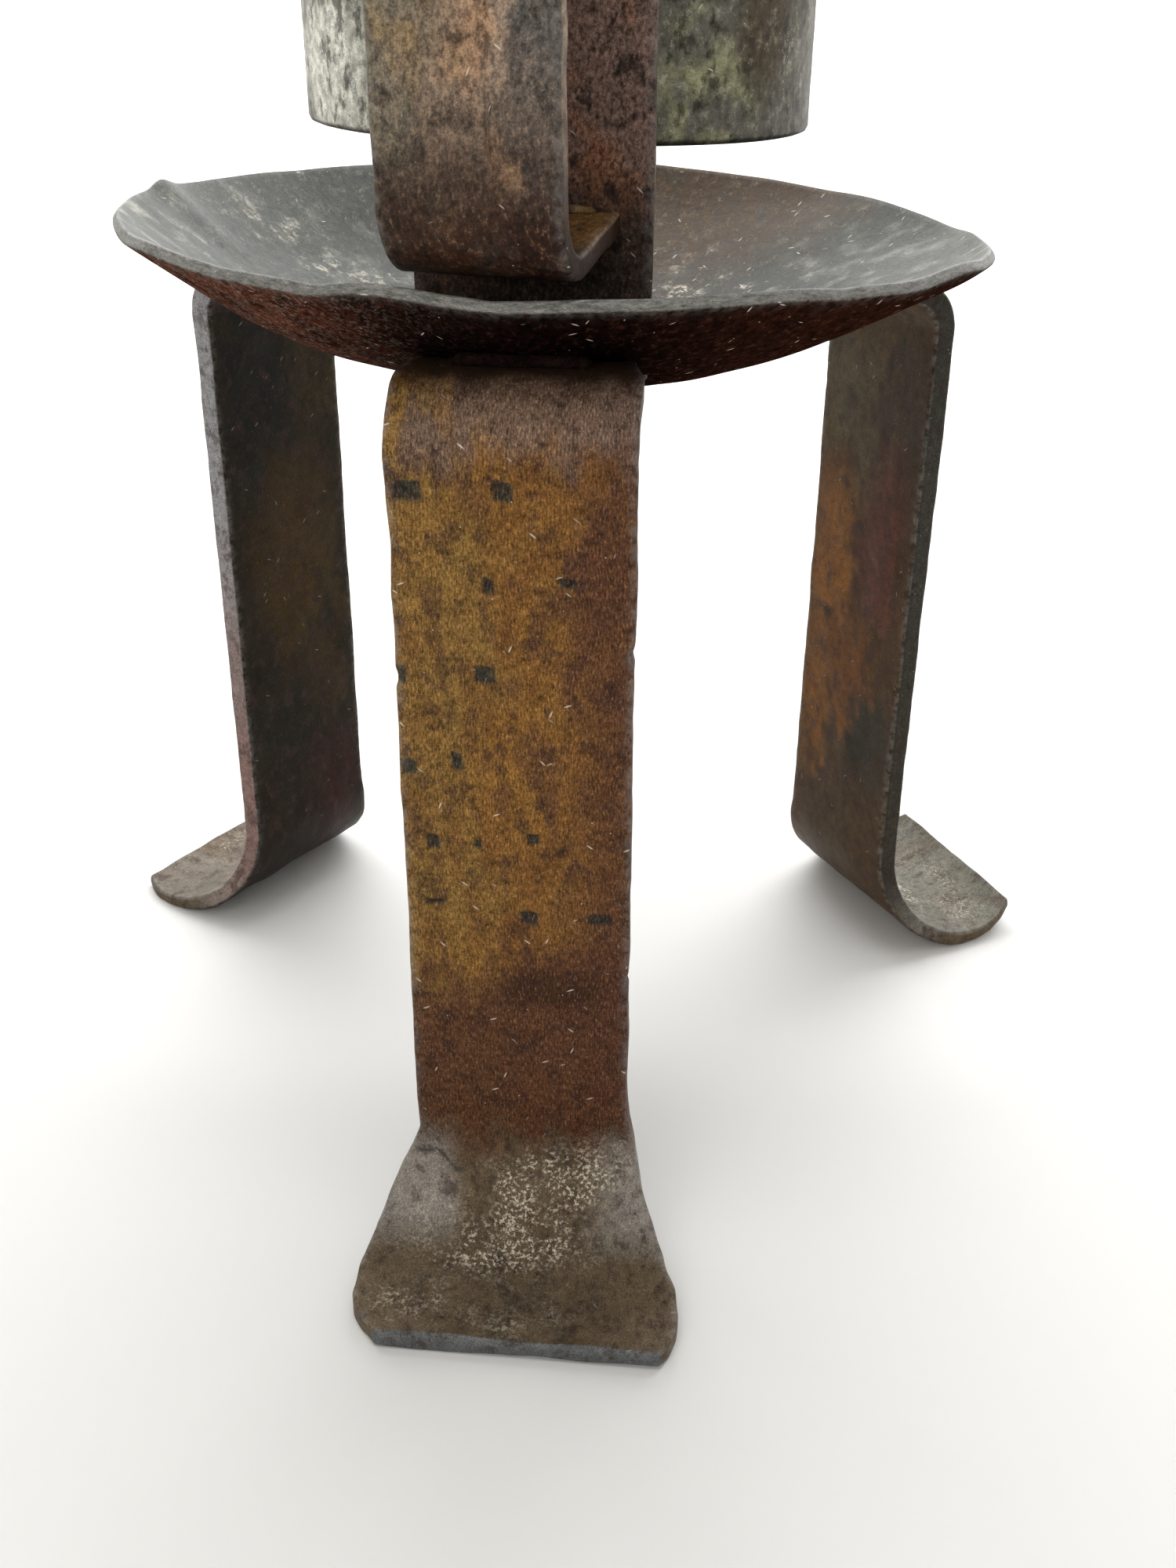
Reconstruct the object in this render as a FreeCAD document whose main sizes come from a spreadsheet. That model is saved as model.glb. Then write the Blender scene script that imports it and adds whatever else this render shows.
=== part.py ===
import FreeCAD, Part
import math
import os
import Sketcher

# Forged candle stand: three bent legs, a drip dish, an upright strap that carries a cup, and a handle.
# Millimetres, +Z up, the floor at Z = 0, the origin under the middle of the whole, the front towards -Y.

Vector = FreeCAD.Vector
UP = Vector(0, 0, 1)

# Driving dimensions: alias and value.
SIZES = [
    ("bar_width", 40),          # flat bar of the legs and the upright
    ("bar_thickness", 5),
    ("leg_reach", 85),          # from the axis to a leg's outer face
    ("leg_turn", -5),           # degrees by which the three legs are turned about the axis
    ("tab_length", 15),         # from the shoulder's bend to the inner end of a leg's level tab
    ("tab_width", 34),          # at that end; the tab widens to the bar at the shoulder
    ("tab_bare", 7.4),          # from the shoulder's bend to where the tab's upper face meets the dish
    ("shoulder_radius", 12),    # outer radius of the bend at the top of a leg
    ("ankle_radius", 19.5),     # inner radius of the bend at the foot
    ("toe_radius", 47.5),       # upper face of the foot, past the bend
    ("rest_offset", 25.3),      # from a leg's outer face to the line on which the foot rests
    ("sole_wear", 0.2),         # how much of the rounded sole is worn flat
    ("foot_length", 35),        # from a leg's outer face to the tip of the foot
    ("foot_width", 60.6),       # at its widest
    ("flare_start", 1.5),       # how far inside the outer face the foot starts to widen
    ("flare_length", 22.5),     # from a leg's outer face to the widest place
    ("flare_radius", 40),
    ("tip_width", 53),
    ("dish_radius", 85),
    ("dish_depth", 29.5),
    ("dish_height", 151.5),     # from the floor to the lowest point of the dish
    ("dish_sheet", 2.5),
    ("cup_radius", 47.3),
    ("cup_wall", 2.5),
    ("cup_gap", 18),            # from the dish's rim up to the cup's lower edge
    ("cup_height", 100),
    ("cup_edge_radius", 1.2),
    ("floor_recess", 2.5),
    ("floor_thickness", 3),
    ("floor_clearance", 0.02),
    ("spike_radius", 4),
    ("spike_tip_radius", 0.6),
    ("spike_length", 35),
    ("collar_radius", 8),
    ("collar_thickness", 2),
    ("tenon_radius", 3),
    ("tenon_clearance", 0.02),
    ("rivet_head_radius", 5.5),
    ("rivet_head_height", 2),
    ("upright_drop", 6),        # from the cup's upper edge down to the upright's top
    ("handle_width", 29),
    ("handle_thickness", 4),
    ("handle_turn", -11),       # degrees by which the handle is turned from the upright's face
    ("handle_reach", 33),       # from the upright's face to the handle's outer face
    ("handle_gap", 4.6),        # from the dish's rim up to the lower arm, where it meets the upright
    ("handle_span", 100.8),     # over both arms, where they meet the upright
    ("handle_bend", 12),
    ("arm_slope", 8),           # degrees by which the arms lean away from each other
    ("leg_bead_radius", 1.9),
    ("leg_bead_length", 24),
    ("leg_bead_offset", 3.9),   # outwards from where a tab's upper face meets the dish
    ("foot_bead_radius", 3.5),
    ("foot_bead_length", 32),
    ("cup_bead_start", 9),      # from the upright's middle line to the near side of a bead
    ("cup_bead_width", 6),
    ("cup_bead_length", 70),
    ("cup_bead_lift", 12),      # from the cup's lower edge to the beads
    ("braze_radius", 2.4),
    ("braze_length", 22),
    ("ring_bead_leg", 2),
]
size = dict(SIZES)

# Sizes that follow from the driving ones: expressions for the document, numbers for first positions.
BALL = "(sizes.dish_radius^2 + sizes.dish_depth^2) / (2 * sizes.dish_depth)"
BALL_HEIGHT = "sizes.dish_height + " + BALL
RIM = "sizes.dish_height + sizes.dish_depth"
TAB_START = "sizes.leg_reach - sizes.shoulder_radius - sizes.tab_length"
TAB_MEET = "(sizes.leg_reach - sizes.shoulder_radius - sizes.tab_bare)"
TAB_HEIGHT = BALL_HEIGHT + " - sqrt((" + BALL + ")^2 - " + TAB_MEET + "^2)"
CUP_BASE = RIM + " + sizes.cup_gap"
FLOOR_UNDER = CUP_BASE + " + sizes.floor_recess"
HANDLE_LOW = RIM + " + sizes.handle_gap"
ball_radius = (size["dish_radius"] ** 2 + size["dish_depth"] ** 2) / (2 * size["dish_depth"])
ball_height = size["dish_height"] + ball_radius
bowl_radius = ball_radius - size["dish_sheet"]
rim_height = size["dish_height"] + size["dish_depth"]
upright_face = size["cup_radius"] + size["bar_thickness"]
cup_bore = size["cup_radius"] - size["cup_wall"]
cup_base = rim_height + size["cup_gap"]
upright_top = cup_base + size["cup_height"] - size["upright_drop"]
handle_low = rim_height + size["handle_gap"]
handle_high = handle_low + size["handle_span"]
floor_under = cup_base + size["floor_recess"]
floor_top = floor_under + size["floor_thickness"]
front_angle = -90 + size["leg_turn"]
leg_angles = {"front_leg": front_angle, "right_leg": front_angle + 120, "left_leg": front_angle + 240}


def middle_of_feet():
    """Where the axis stands, so that the origin is under the middle of the box round the feet."""
    corners = [(size["leg_reach"] + size["foot_length"], size["tip_width"] / 2),
               (size["leg_reach"] + size["flare_length"], size["foot_width"] / 2)]
    spots = []
    for angle in leg_angles.values():
        turn = FreeCAD.Rotation(UP, angle)
        spots += [turn.multVec(Vector(x, side * y, 0)) for x, y in corners for side in (-1, 1)]
    across, along = [p.x for p in spots], [p.y for p in spots]
    return Vector(-(min(across) + max(across)) / 2, -(min(along) + max(along)) / 2, 0)


AXIS = middle_of_feet()

doc = FreeCAD.newDocument("candle_stand")
sheet = doc.addObject("Spreadsheet::Sheet", "sizes")
for row, (alias, value) in enumerate(SIZES, start=1):
    sheet.set("A%d" % row, alias)
    sheet.set("B%d" % row, str(value))
    sheet.setAlias("B%d" % row, alias)
doc.recompute()

nodes = []


def finish(item, label):
    """Names a sub-part and puts it on the list of those that are written out."""
    item.Label = label
    nodes.append(item)
    return item


def turned(angle, offset=Vector(0, 0, 0)):
    """A placement on the dish's axis, turned about it."""
    return FreeCAD.Placement(AXIS + offset, FreeCAD.Rotation(UP, angle))


def new_sketch(body, name, role):
    """A sketch on one of the body's own origin planes."""
    sketch = body.newObject("Sketcher::SketchObject", name)
    plane = [item for item in body.Origin.OriginFeatures if item.Role == role][0]
    sketch.AttachmentSupport = [(plane, "")]
    sketch.MapMode = "FlatFace"
    return sketch


def axis_of(body, role):
    return [item for item in body.Origin.OriginFeatures if item.Role == role][0]


def bind(sketch, name, expression, *constraint):
    """Adds a dimension to a sketch and ties it to the sheet."""
    index = sketch.addConstraint(Sketcher.Constraint(*constraint))
    sketch.renameConstraint(index, name)
    sketch.setExpression("Constraints." + name, expression)


def polygon(sketch, points, closed=True):
    """Draws joined lines through points and returns the index of the first line."""
    ends = points[1:] + points[:1] if closed else points[1:]
    first = sketch.GeometryCount
    for start, end in zip(points, ends):
        sketch.addGeometry(Part.LineSegment(Vector(*start, 0), Vector(*end, 0)))
    last = sketch.GeometryCount - 1
    for index in range(first, last):
        sketch.addConstraint(Sketcher.Constraint("Coincident", index, 2, index + 1, 1))
    if closed:
        sketch.addConstraint(Sketcher.Constraint("Coincident", last, 2, first, 1))
    return first


def rectangle(sketch, low, high):
    """Draws a level rectangle from corner low to corner high: bottom, right, top and left lines."""
    first = polygon(sketch, [low, (high[0], low[1]), high, (low[0], high[1])])
    for step, way in enumerate(("Horizontal", "Vertical", "Horizontal", "Vertical")):
        sketch.addConstraint(Sketcher.Constraint(way, first + step))
    return first


def arc(centre, start, end, left):
    """An arc from start to end that turns left or right about its centre."""
    first, last = (start, end) if left else (end, start)
    radius = math.dist(centre, start)
    angles = [math.atan2(p[1] - centre[1], p[0] - centre[0]) for p in (first, last)]
    if angles[1] < angles[0]:
        angles[1] += 2 * math.pi
    circle = Part.Circle(Vector(*centre, 0), UP, radius)
    return Part.ArcOfCircle(circle, *angles)


def towards(start, end, reach):
    """The point at a distance from start on the line to end."""
    share = reach / math.dist(start, end)
    return tuple(a + share * (b - a) for a, b in zip(start, end))


class Strap:
    """The side view of a bent flat bar: a chain of lines and arcs, and one a thickness away."""

    def __init__(self, sketch, material_left, thickness):
        self.sketch = sketch
        self.side = 1 if material_left else -1
        self.thickness = thickness
        self.outer = []
        self.inner = []

    def line(self, start, end):
        along = Vector(end[0] - start[0], end[1] - start[1], 0).normalize()
        shift = Vector(-along.y, along.x, 0) * self.side * self.thickness
        a, b = Vector(*start, 0), Vector(*end, 0)
        self._add(Part.LineSegment(a, b), Part.LineSegment(a + shift, b + shift), (1, 2))

    def bend(self, centre, start, end, left):
        change = -self.thickness if left == (self.side > 0) else self.thickness
        reach = math.dist(centre, start) + change
        near = [towards(centre, point, reach) for point in (start, end)]
        self._add(arc(centre, start, end, left), arc(centre, *near, left), (1, 2) if left else (2, 1))

    def _add(self, outer, inner, ends):
        self.outer.append((self.sketch.addGeometry(outer), ends))
        self.inner.append((self.sketch.addGeometry(inner), ends))

    def close(self):
        """Joins both chains smoothly and caps their ends with upright lines."""
        add = self.sketch.addConstraint
        for chain in (self.outer, self.inner):
            for (a, a_ends), (b, b_ends) in zip(chain, chain[1:]):
                add(Sketcher.Constraint("Tangent", a, a_ends[1], b, b_ends[0]))
        for (a, _), (b, _) in zip(self.outer, self.inner):
            if isinstance(self.sketch.Geometry[a], Part.ArcOfCircle):
                add(Sketcher.Constraint("Coincident", a, 3, b, 3))
            else:
                add(Sketcher.Constraint("Parallel", a, b))
        for place, end in ((0, 0), (-1, 1)):
            (a, a_ends), (b, b_ends) = self.outer[place], self.inner[place]
            points = self.sketch.getPoint(a, a_ends[end]), self.sketch.getPoint(b, b_ends[end])
            level = Vector(points[0].x, points[1].y, 0)
            cap = self.sketch.addGeometry(Part.LineSegment(points[0], level))
            add(Sketcher.Constraint("Coincident", cap, 1, a, a_ends[end]))
            add(Sketcher.Constraint("Coincident", cap, 2, b, b_ends[end]))
            add(Sketcher.Constraint("Vertical", cap))


def pad(body, sketch, length, both_ways=True):
    feature = body.newObject("PartDesign::Pad", sketch.Name + "_pad")
    feature.Profile = sketch
    if both_ways:
        feature.SideType = "Symmetric"
    feature.setExpression("Length", length)
    sketch.Visibility = False
    return feature


def revolve(body, sketch, kind="PartDesign::Revolution"):
    feature = body.newObject(kind, sketch.Name + "_turned")
    feature.Profile = sketch
    feature.ReferenceAxis = (axis_of(body, "Z_Axis"), [""])
    feature.Angle = 360
    sketch.Visibility = False
    return feature


# Drip dish: a shallow cap of a hollow ball, turned about the axis.
def drip_dish():
    body = doc.addObject("PartDesign::Body", "drip_dish")
    sketch = new_sketch(body, "dish_section", "XZ_Plane")
    centre = (0, ball_height)
    drop = ball_height - rim_height
    rim_inside = math.sqrt(bowl_radius ** 2 - drop ** 2)
    outside = (0, size["dish_height"]), (size["dish_radius"], rim_height)
    inside = (0, ball_height - bowl_radius), (rim_inside, rim_height)
    outer = sketch.addGeometry(arc(centre, *outside, True))
    inner = sketch.addGeometry(arc(centre, *inside, True))
    points = [sketch.getPoint(outer, 2), sketch.getPoint(inner, 2)]
    rim = sketch.addGeometry(Part.LineSegment(*points))
    points = [sketch.getPoint(inner, 1), sketch.getPoint(outer, 1)]
    middle = sketch.addGeometry(Part.LineSegment(*points))
    for a, b in (((outer, 2), (rim, 1)), ((rim, 2), (inner, 2)), ((inner, 1), (middle, 1)),
                 ((middle, 2), (outer, 1)), ((outer, 3), (inner, 3))):
        sketch.addConstraint(Sketcher.Constraint("Coincident", *a, *b))
    sketch.addConstraint(Sketcher.Constraint("Horizontal", rim))
    sketch.addConstraint(Sketcher.Constraint("PointOnObject", outer, 3, -2))
    sketch.addConstraint(Sketcher.Constraint("PointOnObject", middle, 1, -2))
    sketch.addConstraint(Sketcher.Constraint("PointOnObject", middle, 2, -2))
    bind(sketch, "ball", BALL, "Radius", outer, ball_radius)
    bind(sketch, "bowl", BALL + " - sizes.dish_sheet", "Radius", inner, bowl_radius)
    bind(sketch, "ball_height", BALL_HEIGHT, "DistanceY", -1, 1, outer, 3, ball_height)
    bind(sketch, "rim_height", RIM, "DistanceY", -1, 1, rim, 1, rim_height)
    revolve(body, sketch)
    body.Placement = turned(0)
    return finish(body, "drip_dish")


def leg_profile(body):
    """The bent bar seen from the side: tab under the dish, shoulder, shank, ankle and toe."""
    sketch = new_sketch(body, "leg_profile", "XZ_Plane")
    reach, thickness = size["leg_reach"], size["bar_thickness"]
    shoulder, ankle, toe = size["shoulder_radius"], size["ankle_radius"], size["toe_radius"]
    over = reach - shoulder
    tab_height = ball_height - math.sqrt(ball_radius ** 2 - (over - size["tab_bare"]) ** 2)
    shoulder_at = (over, tab_height - shoulder)
    toe_at = (reach + size["rest_offset"], toe + thickness - size["sole_wear"])
    across = toe_at[0] - (reach + ankle)
    ankle_at = (reach + ankle, toe_at[1] - math.sqrt((toe - ankle) ** 2 - across ** 2))
    ankle_to_toe = towards(toe_at, ankle_at, toe)
    tip = reach + size["foot_length"]
    tip_at = (tip, toe_at[1] - math.sqrt(toe ** 2 - (tip - toe_at[0]) ** 2))

    strap = Strap(sketch, False, thickness)
    strap.line((over - size["tab_length"], tab_height), (over, tab_height))
    strap.bend(shoulder_at, (over, tab_height), (reach, shoulder_at[1]), False)
    strap.line((reach, shoulder_at[1]), (reach, ankle_at[1]))
    strap.bend(ankle_at, (reach, ankle_at[1]), ankle_to_toe, True)
    strap.bend(toe_at, ankle_to_toe, tip_at, True)
    strap.close()
    tab, bend, shank, ankle_arc, toe_arc = [index for index, _ in strap.outer]
    back = strap.inner[2][0]
    sketch.addConstraint(Sketcher.Constraint("Horizontal", tab))
    sketch.addConstraint(Sketcher.Constraint("Vertical", shank))
    bind(sketch, "tab_height", TAB_HEIGHT, "DistanceY", -1, 1, tab, 1, tab_height)
    bind(sketch, "shoulder", "sizes.shoulder_radius", "Radius", bend, shoulder)
    bind(sketch, "ankle", "sizes.ankle_radius", "Radius", ankle_arc, ankle)
    bind(sketch, "toe", "sizes.toe_radius", "Radius", toe_arc, toe)
    bind(sketch, "reach", "sizes.leg_reach", "DistanceX", -1, 1, shank, 1, reach)
    bind(sketch, "thickness", "sizes.bar_thickness", "DistanceX", back, 1, shank, 1, thickness)
    bind(sketch, "tab_length", "sizes.tab_length", "DistanceX", tab, 1, tab, 2, size["tab_length"])
    bind(sketch, "rest", "sizes.leg_reach + sizes.rest_offset", "DistanceX", -1, 1, toe_arc, 3, toe_at[0])
    bind(sketch, "on_floor", "sizes.toe_radius + sizes.bar_thickness - sizes.sole_wear",
         "DistanceY", -1, 1, toe_arc, 3, toe_at[1])
    bind(sketch, "tip", "sizes.leg_reach + sizes.foot_length", "DistanceX", -1, 1, toe_arc, 2, tip)
    return sketch


def leg_waste(body):
    """What is trimmed off one side of the blank, from above: beside the bar and outside the flare."""
    sketch = new_sketch(body, "leg_waste", "XY_Plane")
    half, wide, tip = size["bar_width"] / 2, size["foot_width"] / 2, size["tip_width"] / 2
    shoulder = (size["leg_reach"] - size["shoulder_radius"], half)
    tab_start, narrow = shoulder[0] - size["tab_length"], size["tab_width"] / 2
    inner_end = tab_start / 2
    neck = (size["leg_reach"] - size["flare_start"], half)
    widest = (size["leg_reach"] + size["flare_length"], wide)
    corner = (size["leg_reach"] + size["foot_length"], tip)
    beside = 2 * wide
    outline = [widest, corner, (corner[0], beside), (inner_end, beside), (inner_end, narrow),
               (tab_start, narrow), shoulder, neck]
    first = polygon(sketch, outline, False)
    slant, end_line, side, inner_line, tab_end, taper, edge = range(first, first + 7)
    chord = math.dist(neck, widest)
    middle = ((neck[0] + widest[0]) / 2, (neck[1] + widest[1]) / 2)
    rise = math.sqrt(size["flare_radius"] ** 2 - (chord / 2) ** 2) / chord
    centre = (middle[0] + rise * (widest[1] - neck[1]), middle[1] - rise * (widest[0] - neck[0]))
    flare = sketch.addGeometry(arc(centre, neck, widest, False))
    sketch.addConstraint(Sketcher.Constraint("Coincident", edge, 2, flare, 2))
    sketch.addConstraint(Sketcher.Constraint("Coincident", slant, 1, flare, 1))
    for upright_line in (end_line, inner_line):
        sketch.addConstraint(Sketcher.Constraint("Vertical", upright_line))
    for level_line in (side, tab_end, edge):
        sketch.addConstraint(Sketcher.Constraint("Horizontal", level_line))
    bind(sketch, "flare", "sizes.flare_radius", "Radius", flare, size["flare_radius"])
    bind(sketch, "half_bar", "sizes.bar_width / 2", "DistanceY", -1, 1, edge, 1, half)
    bind(sketch, "shoulder", "sizes.leg_reach - sizes.shoulder_radius",
         "DistanceX", -1, 1, edge, 1, shoulder[0])
    bind(sketch, "tab_start", TAB_START, "DistanceX", -1, 1, taper, 1, tab_start)
    bind(sketch, "half_tab", "sizes.tab_width / 2", "DistanceY", -1, 1, taper, 1, narrow)
    bind(sketch, "neck", "sizes.leg_reach - sizes.flare_start", "DistanceX", -1, 1, edge, 2, neck[0])
    bind(sketch, "widest", "sizes.leg_reach + sizes.flare_length", "DistanceX", -1, 1, slant, 1, widest[0])
    bind(sketch, "half_foot", "sizes.foot_width / 2", "DistanceY", -1, 1, slant, 1, wide)
    bind(sketch, "tip", "sizes.leg_reach + sizes.foot_length", "DistanceX", -1, 1, slant, 2, corner[0])
    bind(sketch, "half_tip", "sizes.tip_width / 2", "DistanceY", -1, 1, slant, 2, tip)
    bind(sketch, "clear", "sizes.foot_width", "DistanceY", -1, 1, side, 1, beside)
    bind(sketch, "inner_end", "(" + TAB_START + ") / 2", "DistanceX", -1, 1, inner_line, 1, inner_end)
    return sketch


# Leg: a wide bent blank, trimmed on both sides and bedded to the dish.
def leg(label, angle):
    body = doc.addObject("PartDesign::Body", label)
    pad(body, leg_profile(body), "sizes.foot_width")
    sketch = leg_waste(body)
    trim = body.newObject("PartDesign::Pocket", "leg_trim")
    trim.Profile = sketch
    trim.Type = "ThroughAll"
    trim.Reversed = True
    sketch.Visibility = False
    mirror = body.newObject("PartDesign::Mirrored", "leg_trim_both")
    mirror.Originals = [trim]
    mirror.MirrorPlane = (axis_of(body, "XZ_Plane"), [""])
    body.Tip = mirror
    seat = new_sketch(body, "dish_ball", "XZ_Plane")
    ends = (0, ball_height - ball_radius), (0, ball_height + ball_radius)
    ball = seat.addGeometry(arc((0, ball_height), *ends, True))
    line = seat.addGeometry(Part.LineSegment(Vector(*ends[1], 0), Vector(*ends[0], 0)))
    seat.addConstraint(Sketcher.Constraint("Coincident", ball, 2, line, 1))
    seat.addConstraint(Sketcher.Constraint("Coincident", line, 2, ball, 1))
    seat.addConstraint(Sketcher.Constraint("PointOnObject", ball, 3, -2))
    seat.addConstraint(Sketcher.Constraint("PointOnObject", ball, 1, -2))
    seat.addConstraint(Sketcher.Constraint("PointOnObject", ball, 2, -2))
    bind(seat, "ball", BALL, "Radius", ball, ball_radius)
    bind(seat, "ball_height", BALL_HEIGHT, "DistanceY", -1, 1, ball, 3, ball_height)
    revolve(body, seat, "PartDesign::Groove")
    worn = new_sketch(body, "worn_sole", "XY_Plane")
    far, wide = 2 * size["leg_reach"], size["foot_width"]
    first = rectangle(worn, (0, -wide), (far, wide))
    bind(worn, "far", "2 * sizes.leg_reach", "DistanceX", first, 1, first, 2, far)
    bind(worn, "wide", "2 * sizes.foot_width", "DistanceY", first + 1, 1, first + 1, 2, 2 * wide)
    worn.addConstraint(Sketcher.Constraint("Symmetric", first, 1, first + 2, 2, -1, 1))
    flat = body.newObject("PartDesign::Pocket", "flat_sole")
    flat.Profile = worn
    flat.Type = "ThroughAll"
    worn.Visibility = False
    body.Placement = turned(angle)
    return finish(body, label)


# Upright: a bar that stands in the dish, its lower end shaped to the bowl.
def upright_strap():
    body = doc.addObject("PartDesign::Body", "upright_strap")
    sketch = new_sketch(body, "upright_side", "XZ_Plane")
    low, high = (size["cup_radius"], size["dish_height"]), (upright_face, upright_top)
    first = rectangle(sketch, low, high)
    bind(sketch, "behind", "sizes.cup_radius", "DistanceX", -1, 1, first, 1, low[0])
    bind(sketch, "thickness", "sizes.bar_thickness", "DistanceX", first, 1, first, 2, size["bar_thickness"])
    bind(sketch, "low", "sizes.dish_height", "DistanceY", -1, 1, first, 1, low[1])
    top = CUP_BASE + " + sizes.cup_height - sizes.upright_drop"
    bind(sketch, "top", top, "DistanceY", -1, 1, first + 2, 1, high[1])
    pad(body, sketch, "sizes.bar_width")
    under = new_sketch(body, "under_bowl", "XZ_Plane")
    reach, base = size["dish_radius"], size["dish_height"] / 2
    bowl_low = (0, ball_height - bowl_radius)
    bowl_out = (reach, ball_height - math.sqrt(bowl_radius ** 2 - reach ** 2))
    bowl = under.addGeometry(arc((0, ball_height), bowl_low, bowl_out, True))
    first = polygon(under, [bowl_out, (reach, base), (0, base), bowl_low], False)
    for a, b in (((bowl, 2), (first, 1)), ((first + 2, 2), (bowl, 1))):
        under.addConstraint(Sketcher.Constraint("Coincident", *a, *b))
    for step, way in enumerate(("Vertical", "Horizontal", "Vertical")):
        under.addConstraint(Sketcher.Constraint(way, first + step))
    under.addConstraint(Sketcher.Constraint("PointOnObject", bowl, 3, -2))
    under.addConstraint(Sketcher.Constraint("PointOnObject", bowl, 1, -2))
    bind(under, "bowl", BALL + " - sizes.dish_sheet", "Radius", bowl, bowl_radius)
    bind(under, "bowl_height", BALL_HEIGHT, "DistanceY", -1, 1, bowl, 3, ball_height)
    bind(under, "reach", "sizes.dish_radius", "DistanceX", -1, 1, first, 1, reach)
    bind(under, "base", "sizes.dish_height / 2", "DistanceY", -1, 1, first, 2, base)
    revolve(body, under, "PartDesign::Groove")
    body.Placement = turned(front_angle)
    return finish(body, "upright_strap")


# Handle: a narrower bar bent to a D, its two ends cut to the upright's face.
def carrying_handle():
    body = doc.addObject("PartDesign::Body", "carrying_handle")
    sketch = new_sketch(body, "handle_profile", "XZ_Plane")
    reach, bend, thickness = size["handle_reach"], size["handle_bend"], size["handle_thickness"]
    slope = math.radians(size["arm_slope"])
    start = -size["handle_width"] / 2
    chain = []
    for height, way in ((handle_low, 1), (handle_high, -1)):
        centre_x = reach - bend
        join_x = centre_x - bend * math.sin(slope)
        join = (join_x, height - way * join_x * math.tan(slope))
        centre = (centre_x, join[1] + way * bend * math.cos(slope))
        chain.append(((start, height - way * start * math.tan(slope)), join, centre))
    strap = Strap(sketch, True, thickness)
    (low_end, low_join, low_centre), (high_end, high_join, high_centre) = chain
    strap.line(low_end, low_join)
    strap.bend(low_centre, low_join, (reach, low_centre[1]), True)
    strap.line((reach, low_centre[1]), (reach, high_centre[1]))
    strap.bend(high_centre, (reach, high_centre[1]), high_join, True)
    strap.line(high_join, high_end)
    strap.close()
    low_arm, low_bend, grip, high_bend, high_arm = [index for index, _ in strap.outer]
    inside = strap.inner[2][0]
    sketch.addConstraint(Sketcher.Constraint("Vertical", grip))
    sketch.addConstraint(Sketcher.Constraint("Equal", low_bend, high_bend))
    bind(sketch, "bend", "sizes.handle_bend", "Radius", low_bend, bend)
    bind(sketch, "reach", "sizes.handle_reach", "DistanceX", -1, 1, grip, 1, reach)
    bind(sketch, "thickness", "sizes.handle_thickness", "DistanceX", inside, 1, grip, 1, thickness)
    past = "sizes.handle_width / 2"
    rise = " * tan(sizes.arm_slope * 1 deg)"
    bind(sketch, "low_past", past, "DistanceX", low_arm, 1, -1, 1, -start)
    bind(sketch, "high_past", past, "DistanceX", high_arm, 2, -1, 1, -start)
    low = HANDLE_LOW + " + " + past + rise
    high = HANDLE_LOW + " + sizes.handle_span - " + past + rise
    bind(sketch, "low", low, "DistanceY", -1, 1, low_arm, 1, low_end[1])
    bind(sketch, "high", high, "DistanceY", -1, 1, high_arm, 2, high_end[1])
    drop = low_end[1] - low_join[1]
    bends = "sizes.handle_bend * (1 + sin(sizes.arm_slope * 1 deg))"
    run = "(" + past + " + sizes.handle_reach - " + bends + ")"
    bind(sketch, "low_drop", run + rise, "DistanceY", low_arm, 2, low_arm, 1, drop)
    bind(sketch, "high_drop", run + rise, "DistanceY", high_arm, 2, high_arm, 1, drop)
    pad(body, sketch, "sizes.handle_width")

    behind = new_sketch(body, "upright_face", "XY_Plane")
    turn = -math.radians(size["handle_turn"])
    half = size["handle_width"]
    along = Vector(-math.sin(turn), math.cos(turn), 0) * half
    back = Vector(-math.cos(turn), -math.sin(turn), 0) * 2 * half
    corners = (-along, along, along + back, back - along)
    first = polygon(behind, [(corner.x, corner.y) for corner in corners])
    behind.addConstraint(Sketcher.Constraint("Symmetric", first, 1, first, 2, -1, 1))
    behind.addConstraint(Sketcher.Constraint("Parallel", first, first + 2))
    behind.addConstraint(Sketcher.Constraint("Perpendicular", first, first + 1))
    behind.addConstraint(Sketcher.Constraint("Perpendicular", first, first + 3))
    bind(behind, "face_turn", "(90 - sizes.handle_turn) * 1 deg", "Angle", first, math.pi / 2 + turn)
    bind(behind, "face_length", "2 * sizes.handle_width", "Distance", first, 2 * half)
    bind(behind, "depth", "2 * sizes.handle_width", "Distance", first + 1, 2 * half)
    cut = body.newObject("PartDesign::Pocket", "upright_face_cut")
    cut.Profile = behind
    cut.Type = "ThroughAll"
    cut.Reversed = True
    behind.Visibility = False
    face = math.radians(front_angle)
    offset = Vector(upright_face * math.cos(face), upright_face * math.sin(face), 0)
    body.Placement = turned(front_angle + size["handle_turn"], offset)
    return finish(body, "carrying_handle")


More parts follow.
